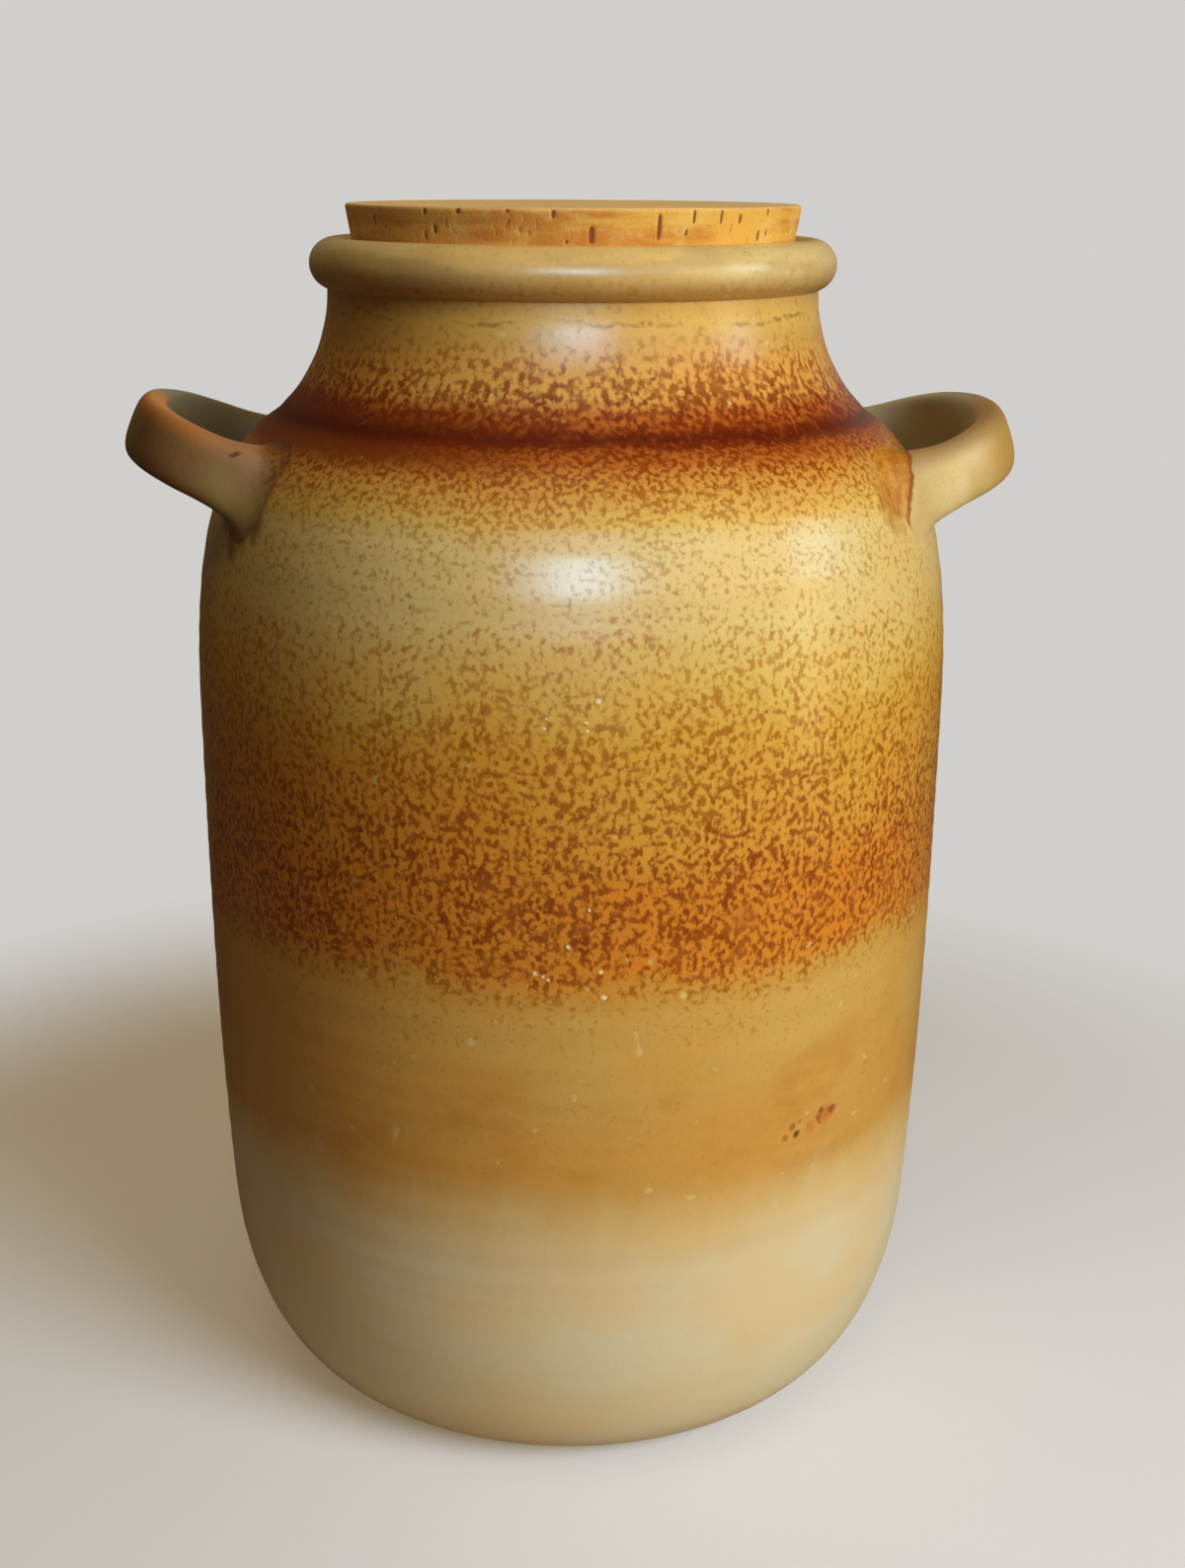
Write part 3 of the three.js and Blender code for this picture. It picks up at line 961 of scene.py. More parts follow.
def spin_profile(bm: bmesh.types.BMesh, points: list[bmesh.types.BMVert], steps: int) -> None:
    """Turns a profile of vertices about the Z axis into a closed solid, one sector first and then the others.

    Args:
        bm: The mesh, which holds nothing but the vertices.
        points: The profile's vertices, from the axis and back to it.
        steps: How many steps a turn has, a multiple of the number of sectors.
    """
    edges = [bm.edges.new(pair) for pair in zip(points, points[1:])]
    sector = math.tau / TURN_SECTORS
    turn = {"cent": (0, 0, 0), "axis": (0, 0, 1)}
    bmesh.ops.spin(bm, geom=points + edges, angle=sector, steps=steps // TURN_SECTORS, **turn)
    turn |= {"angle": math.tau - sector, "steps": TURN_SECTORS - 1, "use_duplicate": True}
    bmesh.ops.spin(bm, geom=bm.verts[:] + bm.edges[:] + bm.faces[:], **turn)
    bmesh.ops.remove_doubles(bm, verts=bm.verts[:], dist=0.01 * MM)
    bmesh.ops.recalc_face_normals(bm, faces=bm.faces[:])


@dataclass
class ThrownJar:
    """The jar, thrown in one piece: base, wall, shoulder, neck and beaded rim, hollow inside."""

    rim_height: float
    belly_radius: float
    neck_height: float = 43.2 * MM
    shoulder_height: float = 75.8 * MM
    heel_height: float = 50 * MM
    mouth_radius: float = 56.2 * MM
    wall: float = 6.7 * MM
    heel_inset: float = 3 * MM
    foot_inset: float = 32 * MM
    foot_ring_width: float = 13 * MM
    foot_hollow_depth: float = 1.5 * MM
    foot_hollow_slope: float = 3 * MM
    floor: float = 10 * MM
    bead_radius: float = 6.4 * MM
    bead_proud: float = 4.4 * MM
    lip_flat: float = 0.7 * MM
    neck_flare: float = 14.4 * MM
    neck_straight: float = 13 * MM
    crease_slope: float = math.radians(-36)
    flare_run: float = 9.5 * MM
    shoulder_run: float = 16.8 * MM
    belly_run: float = 50 * MM
    quarter_round: float = 0.5523
    ring_pitch: float = 7.3 * MM
    ring_depth: float = 0.12 * MM
    crease_depth: float = 0.5 * MM
    crease_width: float = 1.6 * MM
    floor_corner: float = 16 * MM
    inside_start: float = 6 * MM
    liner_fade: float = 14 * MM
    bare_fade: float = 4 * MM
    point_spacing: float = 2 * MM
    inside_stride: int = 3
    bead_steps: int = 20
    lip_steps: int = 10
    turn_steps: int = 264
    skin: BVHTree | None = field(default=None, init=False)

    @property
    def neck_radius(self) -> float:
        """The neck's outer radius, in the groove under the bead."""
        return self.mouth_radius + self.wall

    @property
    def crease_height(self) -> float:
        """The height of the crease between neck and shoulder."""
        return self.rim_height - self.neck_height

    @property
    def bead_centre(self) -> Vector:
        """The middle of the bead's round."""
        return flat(self.neck_radius + self.bead_proud - self.bead_radius, self.rim_height - self.bead_radius)

    @property
    def groove_angle(self) -> float:
        """Where the bead's round meets the neck."""
        return -math.acos((self.bead_radius - self.bead_proud) / self.bead_radius)

    @property
    def lip_round(self) -> float:
        """The radius of the round on the mouth's side of the rim."""
        return self.bead_centre.x - self.lip_flat - self.mouth_radius

    @property
    def lip_centre(self) -> Vector:
        """The middle of that round."""
        return flat(self.mouth_radius + self.lip_round, self.rim_height - self.lip_round)

    def outer_wall(self) -> list[Vector]:
        """The jar's outside, from the edge of its base up to the groove under the bead.

        Returns:
            The points of its profile.
        """
        belly_height = self.crease_height - self.shoulder_height
        foot = flat(self.belly_radius - self.foot_inset, 0.0)
        heel = flat(self.belly_radius - self.heel_inset, self.heel_height)
        belly = flat(self.belly_radius, belly_height)
        crease = flat(self.neck_radius + self.neck_flare, self.crease_height)
        groove = arc(self.bead_centre, self.bead_radius, self.groove_angle, 0.0, 1)[0]
        wall_run = (belly_height - self.heel_height) / 3
        heel_lean = flat(self.heel_inset, wall_run)
        heel_run = self.heel_height * self.quarter_round / wall_run
        foot_pull = flat((heel.x - foot.x) * self.quarter_round, 0.0)
        down = flat(math.cos(self.crease_slope), math.sin(self.crease_slope))
        gap = self.point_spacing
        return [
            foot,
            *curve(foot, foot_pull, heel_lean * -heel_run, heel, gap),
            *curve(heel, heel_lean, flat(0.0, -wall_run), belly, gap),
            *curve(belly, flat(0.0, self.belly_run), down * self.shoulder_run, crease, gap),
            *curve(crease, down * -self.flare_run, flat(0.0, -self.neck_straight), groove, gap * 0.6),
        ]

    def offset(self, wall: list[Vector], distance: float) -> list[Vector]:
        """Moves a wall inwards.

        Args:
            wall: The points of its profile.
            distance: How far it moves.

        Returns:
            The moved points.
        """
        moved = []
        for i, point in enumerate(wall):
            along = (wall[min(i + 1, len(wall) - 1)] - wall[max(i - 1, 0)]).normalized()
            moved.append(point + flat(-along.z, along.x) * distance)
        return moved

    def thrown(self, wall: list[Vector]) -> list[Vector]:
        """Presses the faint rings that fingers leave into the wall, and the crease a little.

        Args:
            wall: The points of the outer wall.

        Returns:
            The pressed points.
        """
        pressed = []
        for point in wall:
            rise = point.z / self.ring_pitch
            ring = 0.5 - 0.5 * math.cos(math.tau * (rise + 0.35 * math.sin(0.9 * rise)))
            below_rim = (self.rim_height - point.z) / self.neck_height
            held = min(1.0, point.z / self.heel_height) * min(1.0, below_rim)
            off = (point.z - self.crease_height) / self.crease_width
            inwards = self.ring_depth * ring * held + self.crease_depth * math.exp(-off * off)
            pressed.append(point - flat(inwards, 0.0))
        return pressed

    def profile(self) -> list[tuple[Vector, float, float]]:
        """The whole profile from the axis under the base to the axis on the floor inside.

        Returns:
            Each point, with how much it has of the liner glaze and of bare clay.
        """
        wall = self.outer_wall()
        inner_wall = self.offset(wall, self.wall)[:: self.inside_stride]
        inside = [p for p in inner_wall if p.z > self.floor + self.inside_start]
        ring_inside = wall[0].x - self.foot_ring_width
        bead = arc(self.bead_centre, self.bead_radius, self.groove_angle, math.pi / 2, self.bead_steps)[1:]
        lip = arc(self.lip_centre, self.lip_round, math.pi / 2, math.pi, self.lip_steps)
        under = [
            flat(0.0, self.foot_hollow_depth),
            flat(ring_inside * 0.5, self.foot_hollow_depth),
            flat(ring_inside - self.foot_hollow_slope, self.foot_hollow_depth),
            flat(ring_inside, 0.0),
        ]
        bottom = inside[0]
        floor_edge = flat(bottom.x - self.floor_corner, self.floor)
        down_pull, out_pull = flat(-3 * MM, -5 * MM), flat(8 * MM, 0.0)
        corner = curve(bottom, down_pull, out_pull, floor_edge, self.point_spacing)
        floor = [flat(corner[-1].x * share, self.floor) for share in (0.75, 0.5, 0.25, 0.0)]
        rows = [(p, 0.0, 1.0) for p in under]
        rows += [(p, 0.0, max(0.0, 1.0 - p.z / self.bare_fade)) for p in self.thrown(wall)]
        rows += [(p, 0.0, 0.0) for p in (*bead, *lip)]
        rows += [(p, min(1.0, (lip[-1].z - p.z) / self.liner_fade), 0.0) for p in reversed(inside)]
        rows += [(p, 1.0, 0.0) for p in (*corner, *floor)]
        return rows

    def press_scar(self, bm: bmesh.types.BMesh) -> None:
        """Makes the scar's pits, in a patch that is divided finely enough to hold them.

        Args:
            bm: The spun jar.
        """
        pits = [(mark.place(self.belly_radius), mark) for mark in SCAR_MARKS]
        middle = sum((place for place, _ in pits), Vector()) / len(pits)
        reach = 1.6 * max((place - middle).length for place, _ in pits)
        patch = {v for v in bm.verts if (v.co - middle).length < reach}
        edges = [e for e in bm.edges if e.verts[0] in patch and e.verts[1] in patch]
        bmesh.ops.subdivide_edges(bm, edges=edges, cuts=4, use_grid_fill=True)
        for vertex in [v for v in bm.verts if (v.co - middle).length < reach]:
            outward = Vector((vertex.co.x, vertex.co.y, 0.0)).normalized()
            depth = 0.0
            for place, mark in pits:
                away = (vertex.co - place).length / mark.radius
                depth = max(depth, mark.depth * max(0.0, 1.0 - away * away))
            vertex.co -= outward * depth

    def build(self, finish: JarFinish) -> bpy.types.Object:
        """Spins the jar, presses its scar and dresses it.

        Args:
            finish: The jar's finish.

        Returns:
            The jar.
        """
        bm = bmesh.new()
        liner = bm.verts.layers.float.new("liner")
        bare = bm.verts.layers.float.new("bare")
        points = []
        for place, lined, clay in self.profile():
            vertex = bm.verts.new(place)
            vertex[liner], vertex[bare] = lined, clay
            points.append(vertex)
        spin_profile(bm, points, self.turn_steps)
        self.press_scar(bm)
        smooth_faces(bm)
        self.skin = BVHTree.FromBMesh(bm)
        jar = new_piece(bm, "jar", finish.material())
        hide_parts("crock_body")
        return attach(jar, Body.CROCK.value)


@dataclass(frozen=True)
class HandleSetting:
    """How one handle was set by hand: its side, its tip's drop under the crease, its tilt and its skew."""

    side: Side
    drop: float
    tilt: float
    skew: float


HANDLE_SETTINGS = (
    HandleSetting(Side.RIGHT, 5.5 * MM, math.radians(19.5), math.radians(0.2)),
    HandleSetting(Side.LEFT, 3.4 * MM, math.radians(22.6), math.radians(2.4)),
)


@dataclass
class StrapHandle:
    """A flat strap bent into a loop and luted to the jar's shoulder at both ends."""

    setting: HandleSetting
    jar: ThrownJar
    strap_width: float = 16.4 * MM
    strap_thickness: float = 8.3 * MM
    squareness: float = 3.0
    span: float = 82.4 * MM
    bend: float = 29.8 * MM
    corner: float = 0.64
    root: float = 54 * MM
    overhang: float = 10.3 * MM
    spread_length: float = 13 * MM
    spread_width: float = 5 * MM
    spread_thickness: float = 4 * MM
    fillet_up: float = 7 * MM
    fillet_out: float = 5.4 * MM
    feather_sink: float = 0.25 * MM
    lump_depth: float = 0.22 * MM
    lump_scale: float = 85.0
    bend_points: int = 40
    leg_points: int = 12
    section_points: int = 48
    strap_rings: int = 40
    fillet_rings: int = 9

    def place(self) -> Matrix:
        """Where the handle stands, with its tip as its origin.

        Returns:
            The matrix from the strap's plane to the crock.
        """
        hand = self.setting
        tip = Vector((self.jar.belly_radius + self.overhang, 0.0, self.jar.crease_height - hand.drop))
        turn = Matrix.Rotation(hand.side.value, 4, "Z") @ Matrix.Translation(tip)
        return turn @ Matrix.Rotation(-hand.tilt, 4, "Y") @ Matrix.Rotation(hand.skew, 4, "X")

    def half_line(self, way: float) -> list[Vector]:
        """The strap's middle line in its own plane, from the tip to one end inside the jar.

        Args:
            way: 1 or -1, the way along the span.

        Returns:
            The line's points.
        """
        side = way * self.span / 2
        tip = Vector((0.0, 0.0, 0.0))
        leg = Vector((-self.bend, side, 0.0))
        end = Vector((-self.root, side, 0.0))
        first_pull = Vector((0.0, side * self.corner, 0.0))
        last_pull = Vector((self.bend * self.corner, 0.0, 0.0))
        bent = interpolate_bezier(tip, first_pull, leg + last_pull, leg, self.bend_points)
        return bent + [leg.lerp(end, (i + 1) / self.leg_points) for i in range(self.leg_points)]

    def section(self) -> list[Vector]:
        """The strap's section, between a round and a square.

        Returns:
            Its points: x through the thickness and y across the width, each from -1 to 1.
        """
        def flatten(value: float) -> float:
            """A circle's coordinate drawn towards a square's."""
            return math.copysign(abs(value) ** (2 / self.squareness), value)
        turns = (math.tau * i / self.section_points for i in range(self.section_points))
        return [Vector((flatten(math.cos(a)), flatten(math.sin(a)), 0.0)) for a in turns]

    def clearance(self, point: Vector) -> float:
        """How far outside the jar a point is, and less than 0 inside it."""
        found, normal, _, distance = self.jar.skin.find_nearest(point)
        return math.copysign(distance, (point - found).dot(normal))

    def strap_lines(self, way: float) -> list[list[Vector]]:
        """The lines that run along the strap from its tip into the jar, one for each point of its section.

        Args:
            way: 1 or -1, the way along the span.

        Returns:
            The lines, in the crock's frame.
        """
        place, section, line = self.place(), self.section(), self.half_line(way)
        lines = [[] for _ in section]
        for i, middle in enumerate(line):
            along = (line[min(i + 1, len(line) - 1)] - line[max(i - 1, 0)]) * way
            outward = Vector((along.y, -along.x, 0.0)).normalized()
            near = 1.0 - self.clearance(place @ middle) / self.spread_length
            spread = min(max(near, 0.0), 1.0) ** 2
            thick = (self.strap_thickness + self.spread_thickness * spread) / 2
            wide = (self.strap_width + self.spread_width * spread) / 2
            for run, corner in zip(lines, section):
                face = middle + outward * (corner.x * thick)
                run.append(place @ (face + Vector((0.0, 0.0, corner.y * wide))))
        return lines

    def luted(self, run: list[Vector], axis: list[Vector]) -> list[tuple[Vector, float]]:
        """One line along the strap, ended by a fillet that runs out on the jar.

        Args:
            run: The line, from the tip into the jar.
            axis: The strap's middle line beside it.

        Returns:
            The points, each with how near it is to the end of the fillet, from 0 to 1.
        """
        lengths = [0.0]
        for i in range(1, len(run)):
            step = run[i] - run[i - 1]
            hit, normal, _, distance = self.jar.skin.ray_cast(run[i - 1], step, step.length)
            if hit is not None:
                break
            lengths.append(lengths[-1] + step.length)
        whole = lengths[-1] + distance
        start = max(whole - self.fillet_up, 0.0)
        strap = [self.along(run, lengths, start * k / self.strap_rings) for k in range(self.strap_rings + 1)]
        away = hit - axis[min(i, len(axis) - 1)]
        outward = (away - normal * away.dot(normal)).normalized()
        rest, rest_normal, _, _ = self.jar.skin.find_nearest(hit + outward * self.fillet_out)
        feather = rest - rest_normal * self.feather_sink
        points = [(point, 0.0) for point in strap]
        for k in range(1, self.fillet_rings + 1):
            t = k / self.fillet_rings
            bent = strap[-1] * (1 - t) ** 2 + hit * (2 * t * (1 - t)) + feather * t**2
            points.append((bent, t))
        return points

    @staticmethod
    def along(run: list[Vector], lengths: list[float], distance: float) -> Vector:
        """Finds a point along a line.

        Args:
            run: The line's points.
            lengths: The line's length up to each of its first points.
            distance: How far along, also past the last of these lengths.

        Returns:
            The point there.
        """
        for i in range(1, len(lengths)):
            if lengths[i] >= distance:
                share = (distance - lengths[i - 1]) / (lengths[i] - lengths[i - 1])
                return run[i - 1].lerp(run[i], share)
        last = (run[len(lengths)] - run[len(lengths) - 1]).normalized()
        return run[len(lengths) - 1] + last * (distance - lengths[-1])

    def build(self, finish: bpy.types.Material) -> bpy.types.Object:
        """Rolls a sheet into the strap, closes its ends under the jar's skin and dresses it.

        Args:
            finish: The handles' material.

        Returns:
            The handle.
        """
        place, section = self.place(), self.section()
        halves = []
        for way in (-1.0, 1.0):
            axis = [place @ point for point in self.half_line(way)]
            halves.append([self.luted(run, axis) for run in self.strap_lines(way)])
        rows = len(halves[0][0])
        bm = bmesh.new()
        bmesh.ops.create_grid(bm, x_segments=self.section_points, y_segments=2 * rows - 2, size=1.0)
        bm.verts.ensure_lookup_table()
        root, upper, inner = (bm.verts.layers.float.new(name) for name in ("root", "upper", "inner"))
        for number, vertex in enumerate(bm.verts):
            row, column = divmod(number, self.section_points + 1)
            half, depth = (halves[0], rows - 1 - row) if row < rows else (halves[1], row - rows + 1)
            corner = section[column % self.section_points]
            vertex.co, vertex[root] = half[column % self.section_points][depth]
            vertex[upper], vertex[inner] = 0.5 + 0.5 * corner.y, 0.5 - 0.5 * corner.x
        bmesh.ops.remove_doubles(bm, verts=bm.verts[:], dist=0.001 * MM)
        bmesh.ops.holes_fill(bm, edges=[e for e in bm.edges if e.is_boundary], sides=0)
        bmesh.ops.recalc_face_normals(bm, faces=bm.faces[:])
        bm.normal_update()
        for vertex in bm.verts:
            lump = 0.5 + 0.5 * noise.noise(vertex.co * self.lump_scale)
            vertex.co -= vertex.normal * (self.lump_depth * lump * (1.0 - vertex[root]))
        smooth_faces(bm)
        side = self.setting.side.name.lower()
        handle = new_piece(bm, f"{side}_strap_handle", finish)
        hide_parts(f"{side}_handle")
        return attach(handle, Body.CROCK.value)


@dataclass(frozen=True)
class Lenticel:
    """A dark slit in the cork's side, by its azimuth, how far from the top it runs, and its width."""

    azimuth: float
    start: float
    end: float
    width: float


FRONT_LENTICELS = tuple(
    Lenticel(azimuth, start * MM, end * MM, width * MM)
    for azimuth, start, end, width in (
        (-74.0, 4.0, 5.6, 0.8),
        (-56.0, 1.6, 5.2, 0.9),
        (-51.5, 4.2, 5.6, 0.8),
        (-36.7, 0.3, 2.0, 0.9),
        (-37.2, 5.0, 8.0, 0.8),
        (-34.2, 3.8, 6.4, 0.9),
        (-27.5, 0.2, 1.6, 1.1),
        (-15.0, 0.2, 1.5, 0.9),
        (-12.0, 3.8, 6.0, 0.7),
        (-4.5, 0.3, 2.5, 1.2),
        (-1.5, 7.0, 8.0, 1.0),
        (4.3, 3.8, 8.2, 1.6),
        (20.3, 0.8, 7.7, 1.2),
        (27.5, 4.6, 6.4, 0.9),
        (29.2, 0.2, 3.8, 0.8),
        (36.8, 0.2, 4.0, 0.8),
        (43.2, 1.2, 4.0, 0.9),
        (53.7, 0.3, 2.0, 0.8),
        (51.0, 5.0, 8.2, 0.9),
        (54.2, 5.0, 6.8, 0.7),
        (69.0, 4.8, 6.8, 0.8),
    )
)


@dataclass
class CorkStopper:
    """A plug cut from one thickness of cork bark, tapered to wedge in the mouth."""

    jar: ThrownJar
    top: float
    taper: float = math.radians(10)
    depth: float = 20 * MM
    edge: float = 0.9 * MM
    seat_gap: float = 0.3 * MM
    slit_depth: float = 0.45 * MM
    seen_depth: float = 3 * MM
    hidden_rings: int = 8
    seen_rings: int = 22
    top_rings: int = 50
    edge_pull: float = 0.55
    back: Span = (78.0, 282.0)
    slit_starts: Span = (0.2, 6.5)
    slit_lengths: Span = (1.2, 5.0)
    slit_widths: Span = (0.6, 1.3)
    pore_radii: Span = (0.7, 1.7)
    side_slits: int = 46
    top_pores: int = 90
    turn_steps: int = 600
    seed: int = 7

    def radius(self, height: float) -> float:
        """Finds the plug's radius, a seat gap clear of the round of the lip.

        Args:
            height: The height.

        Returns:
            The radius there.
        """
        middle = self.jar.lip_centre
        reach = (self.jar.lip_round + self.seat_gap) / math.cos(self.taper)
        return middle.x + (height - middle.z) * math.tan(self.taper) - reach

    def profile(self) -> list[Vector]:
        """The plug's profile from the axis below to the axis on top.

        Returns:
            Its points.
        """
        bottom = self.jar.rim_height - self.depth
        seen = self.jar.rim_height - self.seen_depth
        low, high = bottom + self.edge, self.top - self.edge
        on_cone = [low + (seen - low) * i / self.hidden_rings for i in range(self.hidden_rings + 1)]
        on_cone += [seen + (high - seen) * (i + 1) / self.seen_rings for i in range(self.seen_rings)]
        low_edge = self.radius(bottom) - self.edge
        top_edge = self.radius(self.top) - self.edge
        pull = self.edge * self.edge_pull
        cone_end, top_start = flat(self.radius(high), high), flat(top_edge, self.top)
        corner = curve(cone_end, flat(0.0, pull), flat(pull, 0.0), top_start, 0.3 * MM)
        return [
            *(flat(low_edge * share, bottom) for share in (0.0, 0.35, 0.7, 1.0)),
            *(flat(self.radius(z), z) for z in on_cone),
            *corner,
            *(flat(top_edge * (1 - (i + 1) / self.top_rings), self.top) for i in range(self.top_rings)),
        ]

    def slits(self) -> list[Lenticel]:
        """The slits that show in front, and others like them round the back.

        Returns:
            All the slits.
        """
        draw = random.Random(self.seed)
        behind = []
        for _ in range(self.side_slits):
            start = draw.uniform(*self.slit_starts) * MM
            length = draw.uniform(*self.slit_lengths) * MM
            azimuth = draw.uniform(*self.back)
            behind.append(Lenticel(azimuth, start, start + length, draw.uniform(*self.slit_widths) * MM))
        return [*FRONT_LENTICELS, *behind]

    def open_pores(self, bm: bmesh.types.BMesh) -> None:
        """Sinks the slits in the side and the pores in the top, and marks them for the finish.

        Args:
            bm: The spun plug.
        """
        pit = bm.verts.layers.float.new("pit")
        bm.verts.ensure_lookup_table()
        tree = kdtree.KDTree(len(bm.verts))
        for vertex in bm.verts:
            tree.insert(vertex.co, vertex.index)
        tree.balance()
        for slit in self.slits():
            outward = towards(slit.azimuth)
            across = Vector((-outward.y, outward.x, 0.0))
            height = self.top - (slit.start + slit.end) / 2
            middle = on_round(slit.azimuth, self.radius(height), height)
            half = (slit.end - slit.start) / 2
            for place, index, _ in tree.find_range(middle, half + slit.width):
                vertex = bm.verts[index]
                sideways = (place - middle).dot(across) / (slit.width / 2)
                lengthways = (place.z - height) / half
                deep = max(0.0, 1.0 - sideways**2) * max(0.0, 1.0 - lengthways**4)
                if deep > vertex[pit]:
                    vertex.co -= outward * self.slit_depth * (deep - vertex[pit])
                    vertex[pit] = deep
        draw = random.Random(self.seed + 1)
        for _ in range(self.top_pores):
            reach = self.radius(self.top) * math.sqrt(draw.random())
            turn = draw.uniform(0.0, math.tau)
            middle = Vector((reach * math.cos(turn), reach * math.sin(turn), self.top))
            size = draw.uniform(*self.pore_radii) * MM
            for place, index, _ in tree.find_range(middle, size):
                vertex = bm.verts[index]
                deep = 1.0 - ((place - middle).length / size) ** 2
                if deep > vertex[pit] and place.z > self.top - 0.01 * MM:
                    vertex.co.z -= self.slit_depth * (deep - vertex[pit])
                    vertex[pit] = deep

    def build(self, finish: CorkFinish) -> bpy.types.Object:
        """Spins the plug, opens its pores and dresses it.

        Args:
            finish: The cork's finish.

        Returns:
            The stopper.
        """
        bm = bmesh.new()
        spin_profile(bm, [bm.verts.new(point) for point in self.profile()], self.turn_steps)
        self.open_pores(bm)
        smooth_faces(bm)
        cork = new_piece(bm, "cork", finish.material())
        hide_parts("cork_stopper")
        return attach(cork, Body.STOPPER.value)


class Reach(Enum):
    """What a lamp does: it lights all softly, or the crock but not the floor, or it shows in the gloss."""

    SOFT = "soft"
    CROCK = "crock"
    GLOSS = "gloss"


@dataclass(frozen=True)
class Softbox:
    """A soft lamp, by its bearing to the camera's right, elevation, distance, width, height and power."""

    name: str
    bearing: float
    elevation: float
    distance: float
    width: float
    height: float
    power: float
    colour: tuple[float, float, float]
    reach: Reach


SOFTBOXES = (
    Softbox("key", 46.5, 25.0, 1.3, 0.8, 0.8, 15.6, (1.0, 0.98, 0.94), Reach.SOFT),
    Softbox("back_lamp", 192.0, 22.0, 1.3, 0.8, 0.8, 11.0, (1.0, 0.98, 0.94), Reach.CROCK),
    Softbox("top_lamp", -5.0, 68.0, 1.3, 0.8, 0.8, 3.0, (1.0, 0.76, 0.46), Reach.SOFT),
    Softbox("front_lamp", 3.0, 24.0, 0.9, 0.34, 0.15, 1.9, (0.34, 0.62, 1.0), Reach.GLOSS),
    Softbox("front_veil", 1.0, 25.0, 0.9, 0.6, 0.34, 2.2, (0.36, 0.64, 1.0), Reach.GLOSS),
    Softbox("side_lamp", 77.0, 22.0, 0.9, 0.3, 0.24, 1.1, (0.42, 0.73, 1.0), Reach.GLOSS),
    Softbox("strip_lamp", 69.0, 2.0, 0.9, 0.14, 0.5, 0.6, (1.0, 0.86, 0.5), Reach.GLOSS),
    Softbox("window", -24.0, 32.0, 1.1, 0.7, 0.6, 0.3, (0.8, 0.92, 1.0), Reach.GLOSS),
    Softbox("edge_lamp", 150.0, 12.0, 1.2, 0.8, 0.8, 0.25, (1.0, 0.98, 0.94), Reach.GLOSS),
)


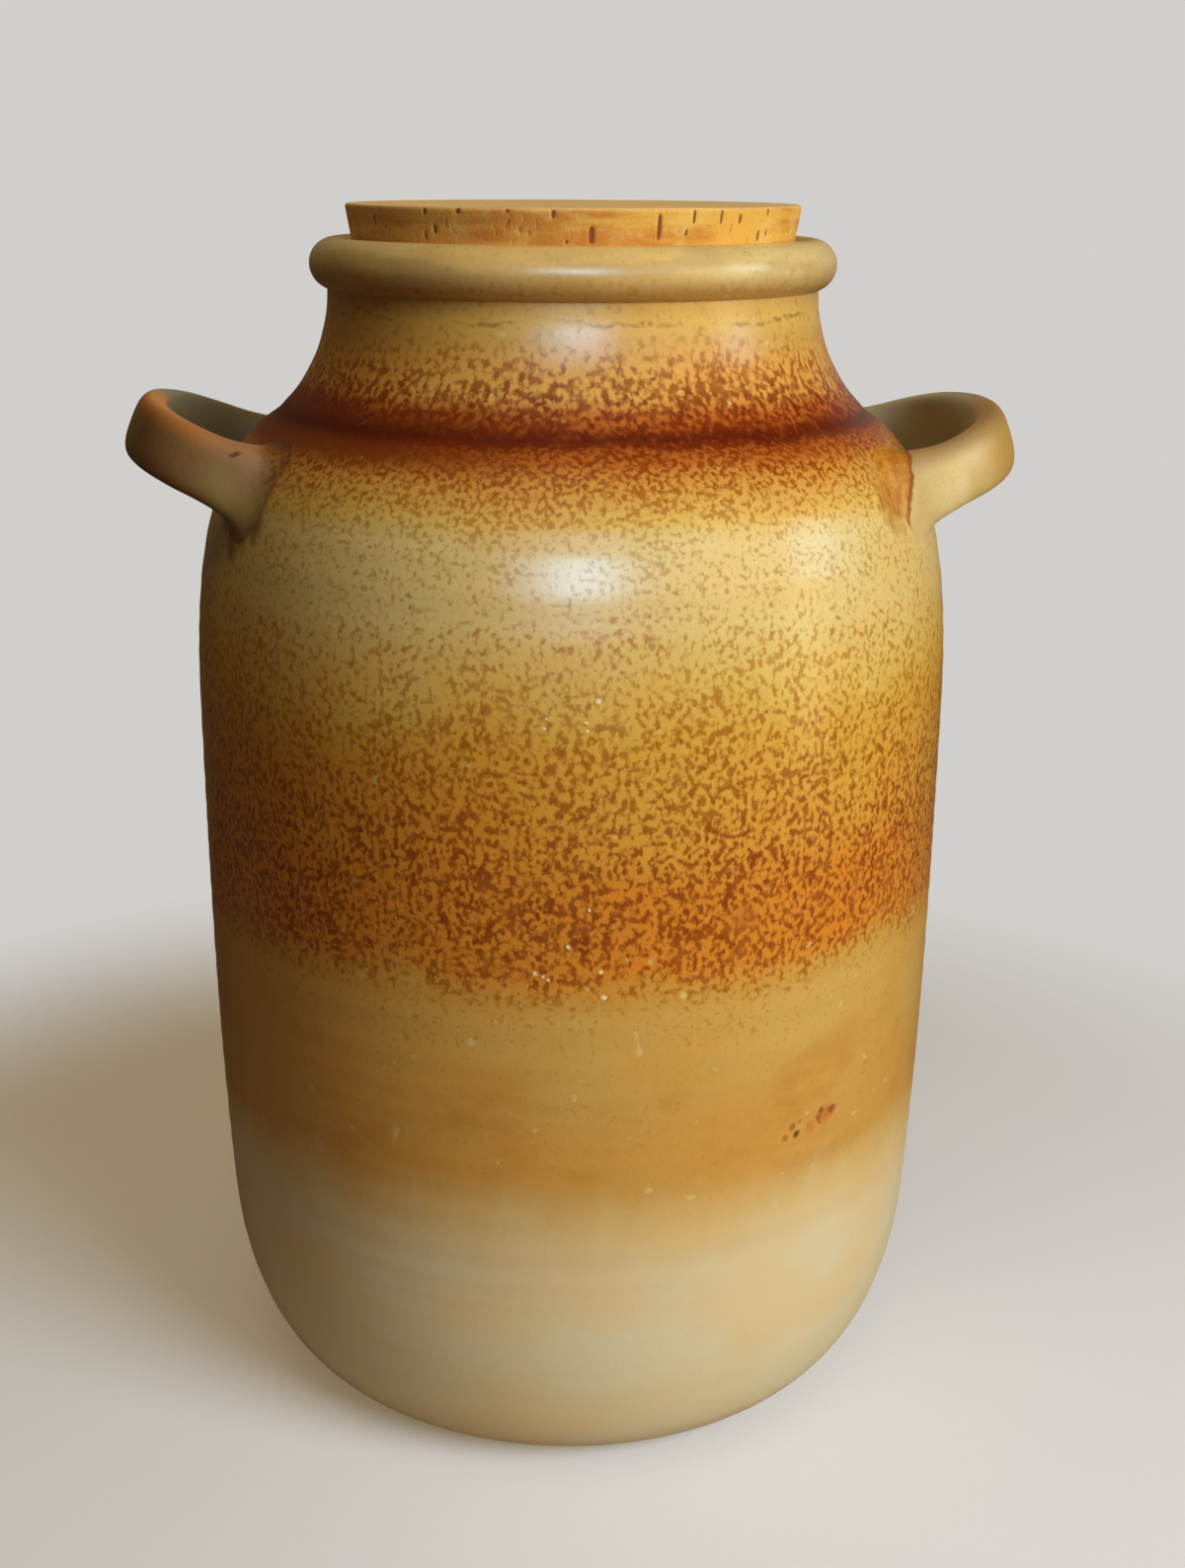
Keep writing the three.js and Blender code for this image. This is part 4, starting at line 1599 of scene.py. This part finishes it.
@dataclass(frozen=True)
class Studio:
    """The pale floor, the soft lamps and the camera."""

    target: Vector
    camera_place: Vector = Vector((0.0, -0.524, 0.3262))
    camera_pitch: float = math.radians(17.37)
    camera_roll: float = math.radians(0.27)
    focal_pixels: float = 2000.0
    axis_offset_pixels: float = 22.25
    frame_height_pixels: float = 1588.0
    sensor: float = 36.0
    floor_radius: float = 1.6
    floor_fade: Span = (0.22, 0.4)
    flag_side: Span = (60 * MM, -60 * MM)
    flag_rise: Span = (130 * MM, 210 * MM)
    floor_glow: float = 0.2
    glow_colour: Colour = (1.0, 0.74, 0.4, 1.0)
    fill: float = 0.06
    fill_colour: Colour = (1.0, 0.64, 0.34, 1.0)

    def floor(self) -> bpy.types.Object:
        """Lays a round floor that fades into the pale surroundings.

        Returns:
            The floor.
        """
        bm = bmesh.new()
        bmesh.ops.create_circle(bm, cap_ends=True, segments=128, radius=self.floor_radius)
        material, w, position = new_material("floor")
        reach = w.vector("LENGTH", position)["Value"]
        mottle = w.noise(position, 600.0)
        path = w.add("ShaderNodeLightPath").outputs
        pale = w.mix(w.spread(mottle, 0.3, 0.7, 0.0, 0.12), Tint.FLOOR.linear, Tint.SURROUND.linear)
        # A dark flag: the floor bounces less light on its far left and shows dark in reflections, which
        # shades the crock's lower left.
        on_left = w.step(w.axes(position)["X"], *self.flag_side)
        flag = w.step(reach, *self.flag_rise)
        bounce = w.tinge(Tint.FLOOR_BOUNCE.linear, Tint.FLOOR_FLAG, on_left, flag)
        bounce = w.tinge(bounce, Tint.FLOOR_FLAG, path["Is Glossy Ray"])
        colour = w.mix(path["Is Camera Ray"], bounce, pale)
        shader = w.add("ShaderNodeBsdfPrincipled", {"Base Color": colour, "Roughness": 0.9})
        strength = w.times(path["Is Camera Ray"], self.floor_glow)
        glow = w.add("ShaderNodeEmission", {"Color": self.glow_colour, "Strength": strength})
        lit = w.add("ShaderNodeAddShader", {0: shader.outputs[0], 1: glow.outputs[0]})
        clear = w.add("ShaderNodeBsdfTransparent")
        gone = w.times(w.step(reach, *self.floor_fade), w.inverse(path["Is Glossy Ray"]))
        blend = w.add("ShaderNodeMixShader", {0: gone, 1: lit.outputs[0], 2: clear.outputs[0]})
        w.add("ShaderNodeOutputMaterial", {"Surface": blend.outputs[0]})
        floor = new_piece(bm, "floor", material)
        return floor

    def surroundings(self) -> None:
        """Makes the surroundings: pale to the camera, and a low fill light for the crock."""
        world = bpy.data.worlds.new("studio")
        bpy.context.scene.world = world
        world.use_nodes = True
        world.node_tree.nodes.clear()
        w = Wiring(world.node_tree)
        seen = w.add("ShaderNodeLightPath").outputs["Is Camera Ray"]
        pale = w.add("ShaderNodeBackground", {"Color": Tint.SURROUND.linear, "Strength": 1.0})
        fill = w.add("ShaderNodeBackground", {"Color": self.fill_colour, "Strength": self.fill})
        blend = w.add("ShaderNodeMixShader", {0: seen, 1: fill.outputs[0], 2: pale.outputs[0]})
        w.add("ShaderNodeOutputWorld", {"Surface": blend.outputs[0]})

    def lamp(self, softbox: Softbox, floor: bpy.types.Object) -> None:
        """Hangs one soft lamp, turned to the crock.

        Args:
            softbox: The lamp.
            floor: The floor, which a lamp for the crock alone leaves out.
        """
        light = bpy.data.lights.new(softbox.name, "AREA")
        light.shape = "ELLIPSE"
        light.size, light.size_y = softbox.width, softbox.height
        light.energy = softbox.power
        light.color = softbox.colour
        rise = math.radians(softbox.elevation)
        away = on_round(softbox.bearing, math.cos(rise), math.sin(rise))
        lamp = bpy.data.objects.new(softbox.name, light)
        lamp.location = self.target + away * softbox.distance
        lamp.rotation_euler = away.to_track_quat("Z", "Y").to_euler()
        lamp.visible_glossy = softbox.reach is Reach.GLOSS
        lamp.visible_diffuse = softbox.reach is not Reach.GLOSS
        if softbox.reach is Reach.CROCK:
            spared = bpy.data.collections.new(f"{softbox.name}_receivers")
            spared.objects.link(floor)
            spared.collection_objects[0].light_linking.link_state = "EXCLUDE"
            lamp.light_linking.receiver_collection = spared
        bpy.context.scene.collection.objects.link(lamp)

    def camera(self) -> None:
        """Stands the camera at the photograph's place and angle."""
        data = bpy.data.cameras.new("camera")
        data.sensor_width = self.sensor
        data.lens = self.sensor * self.focal_pixels / self.frame_height_pixels
        data.shift_x = self.axis_offset_pixels / self.frame_height_pixels
        camera = bpy.data.objects.new("camera", data)
        turn = Matrix.Rotation(math.radians(-FRONT_TURN), 4, "Z")
        tilt = Matrix.Rotation(math.pi / 2 - self.camera_pitch, 4, "X")
        roll = Matrix.Rotation(self.camera_roll, 4, "Z")
        camera.matrix_world = turn @ Matrix.Translation(self.camera_place) @ tilt @ roll
        bpy.context.scene.collection.objects.link(camera)
        bpy.context.scene.camera = camera

    def build(self) -> None:
        """Sets up the whole studio."""
        bpy.context.scene.view_settings.view_transform = "Standard"
        self.camera()
        floor = self.floor()
        self.surroundings()
        for softbox in SOFTBOXES:
            self.lamp(softbox, floor)


def main() -> None:
    """Builds the crock and its studio."""
    logging.basicConfig(level=logging.INFO, format="%(name)s: %(message)s")
    jar_low, jar_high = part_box("crock_body")
    _, cork_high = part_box("cork_stopper")
    Studio(target=(jar_low + jar_high) / 2).build()
    stoneware = StonewareGlaze(jar_height=jar_high.z)
    glaze, strands = stoneware.glaze(), stoneware.strands()
    jar = ThrownJar(rim_height=jar_high.z, belly_radius=jar_high.x)
    handle_finish = HandleFinish(glaze, strands).material()
    pieces = [jar.build(JarFinish(glaze, strands, jar.belly_radius))]
    pieces += [StrapHandle(setting, jar).build(handle_finish) for setting in HANDLE_SETTINGS]
    pieces.append(CorkStopper(jar, top=cork_high.z).build(CorkFinish(cork_high.z)))
    for piece in pieces:
        LOG.info("%s: %d faces", piece.name, len(piece.data.polygons))


if __name__ == "__main__":
    main()
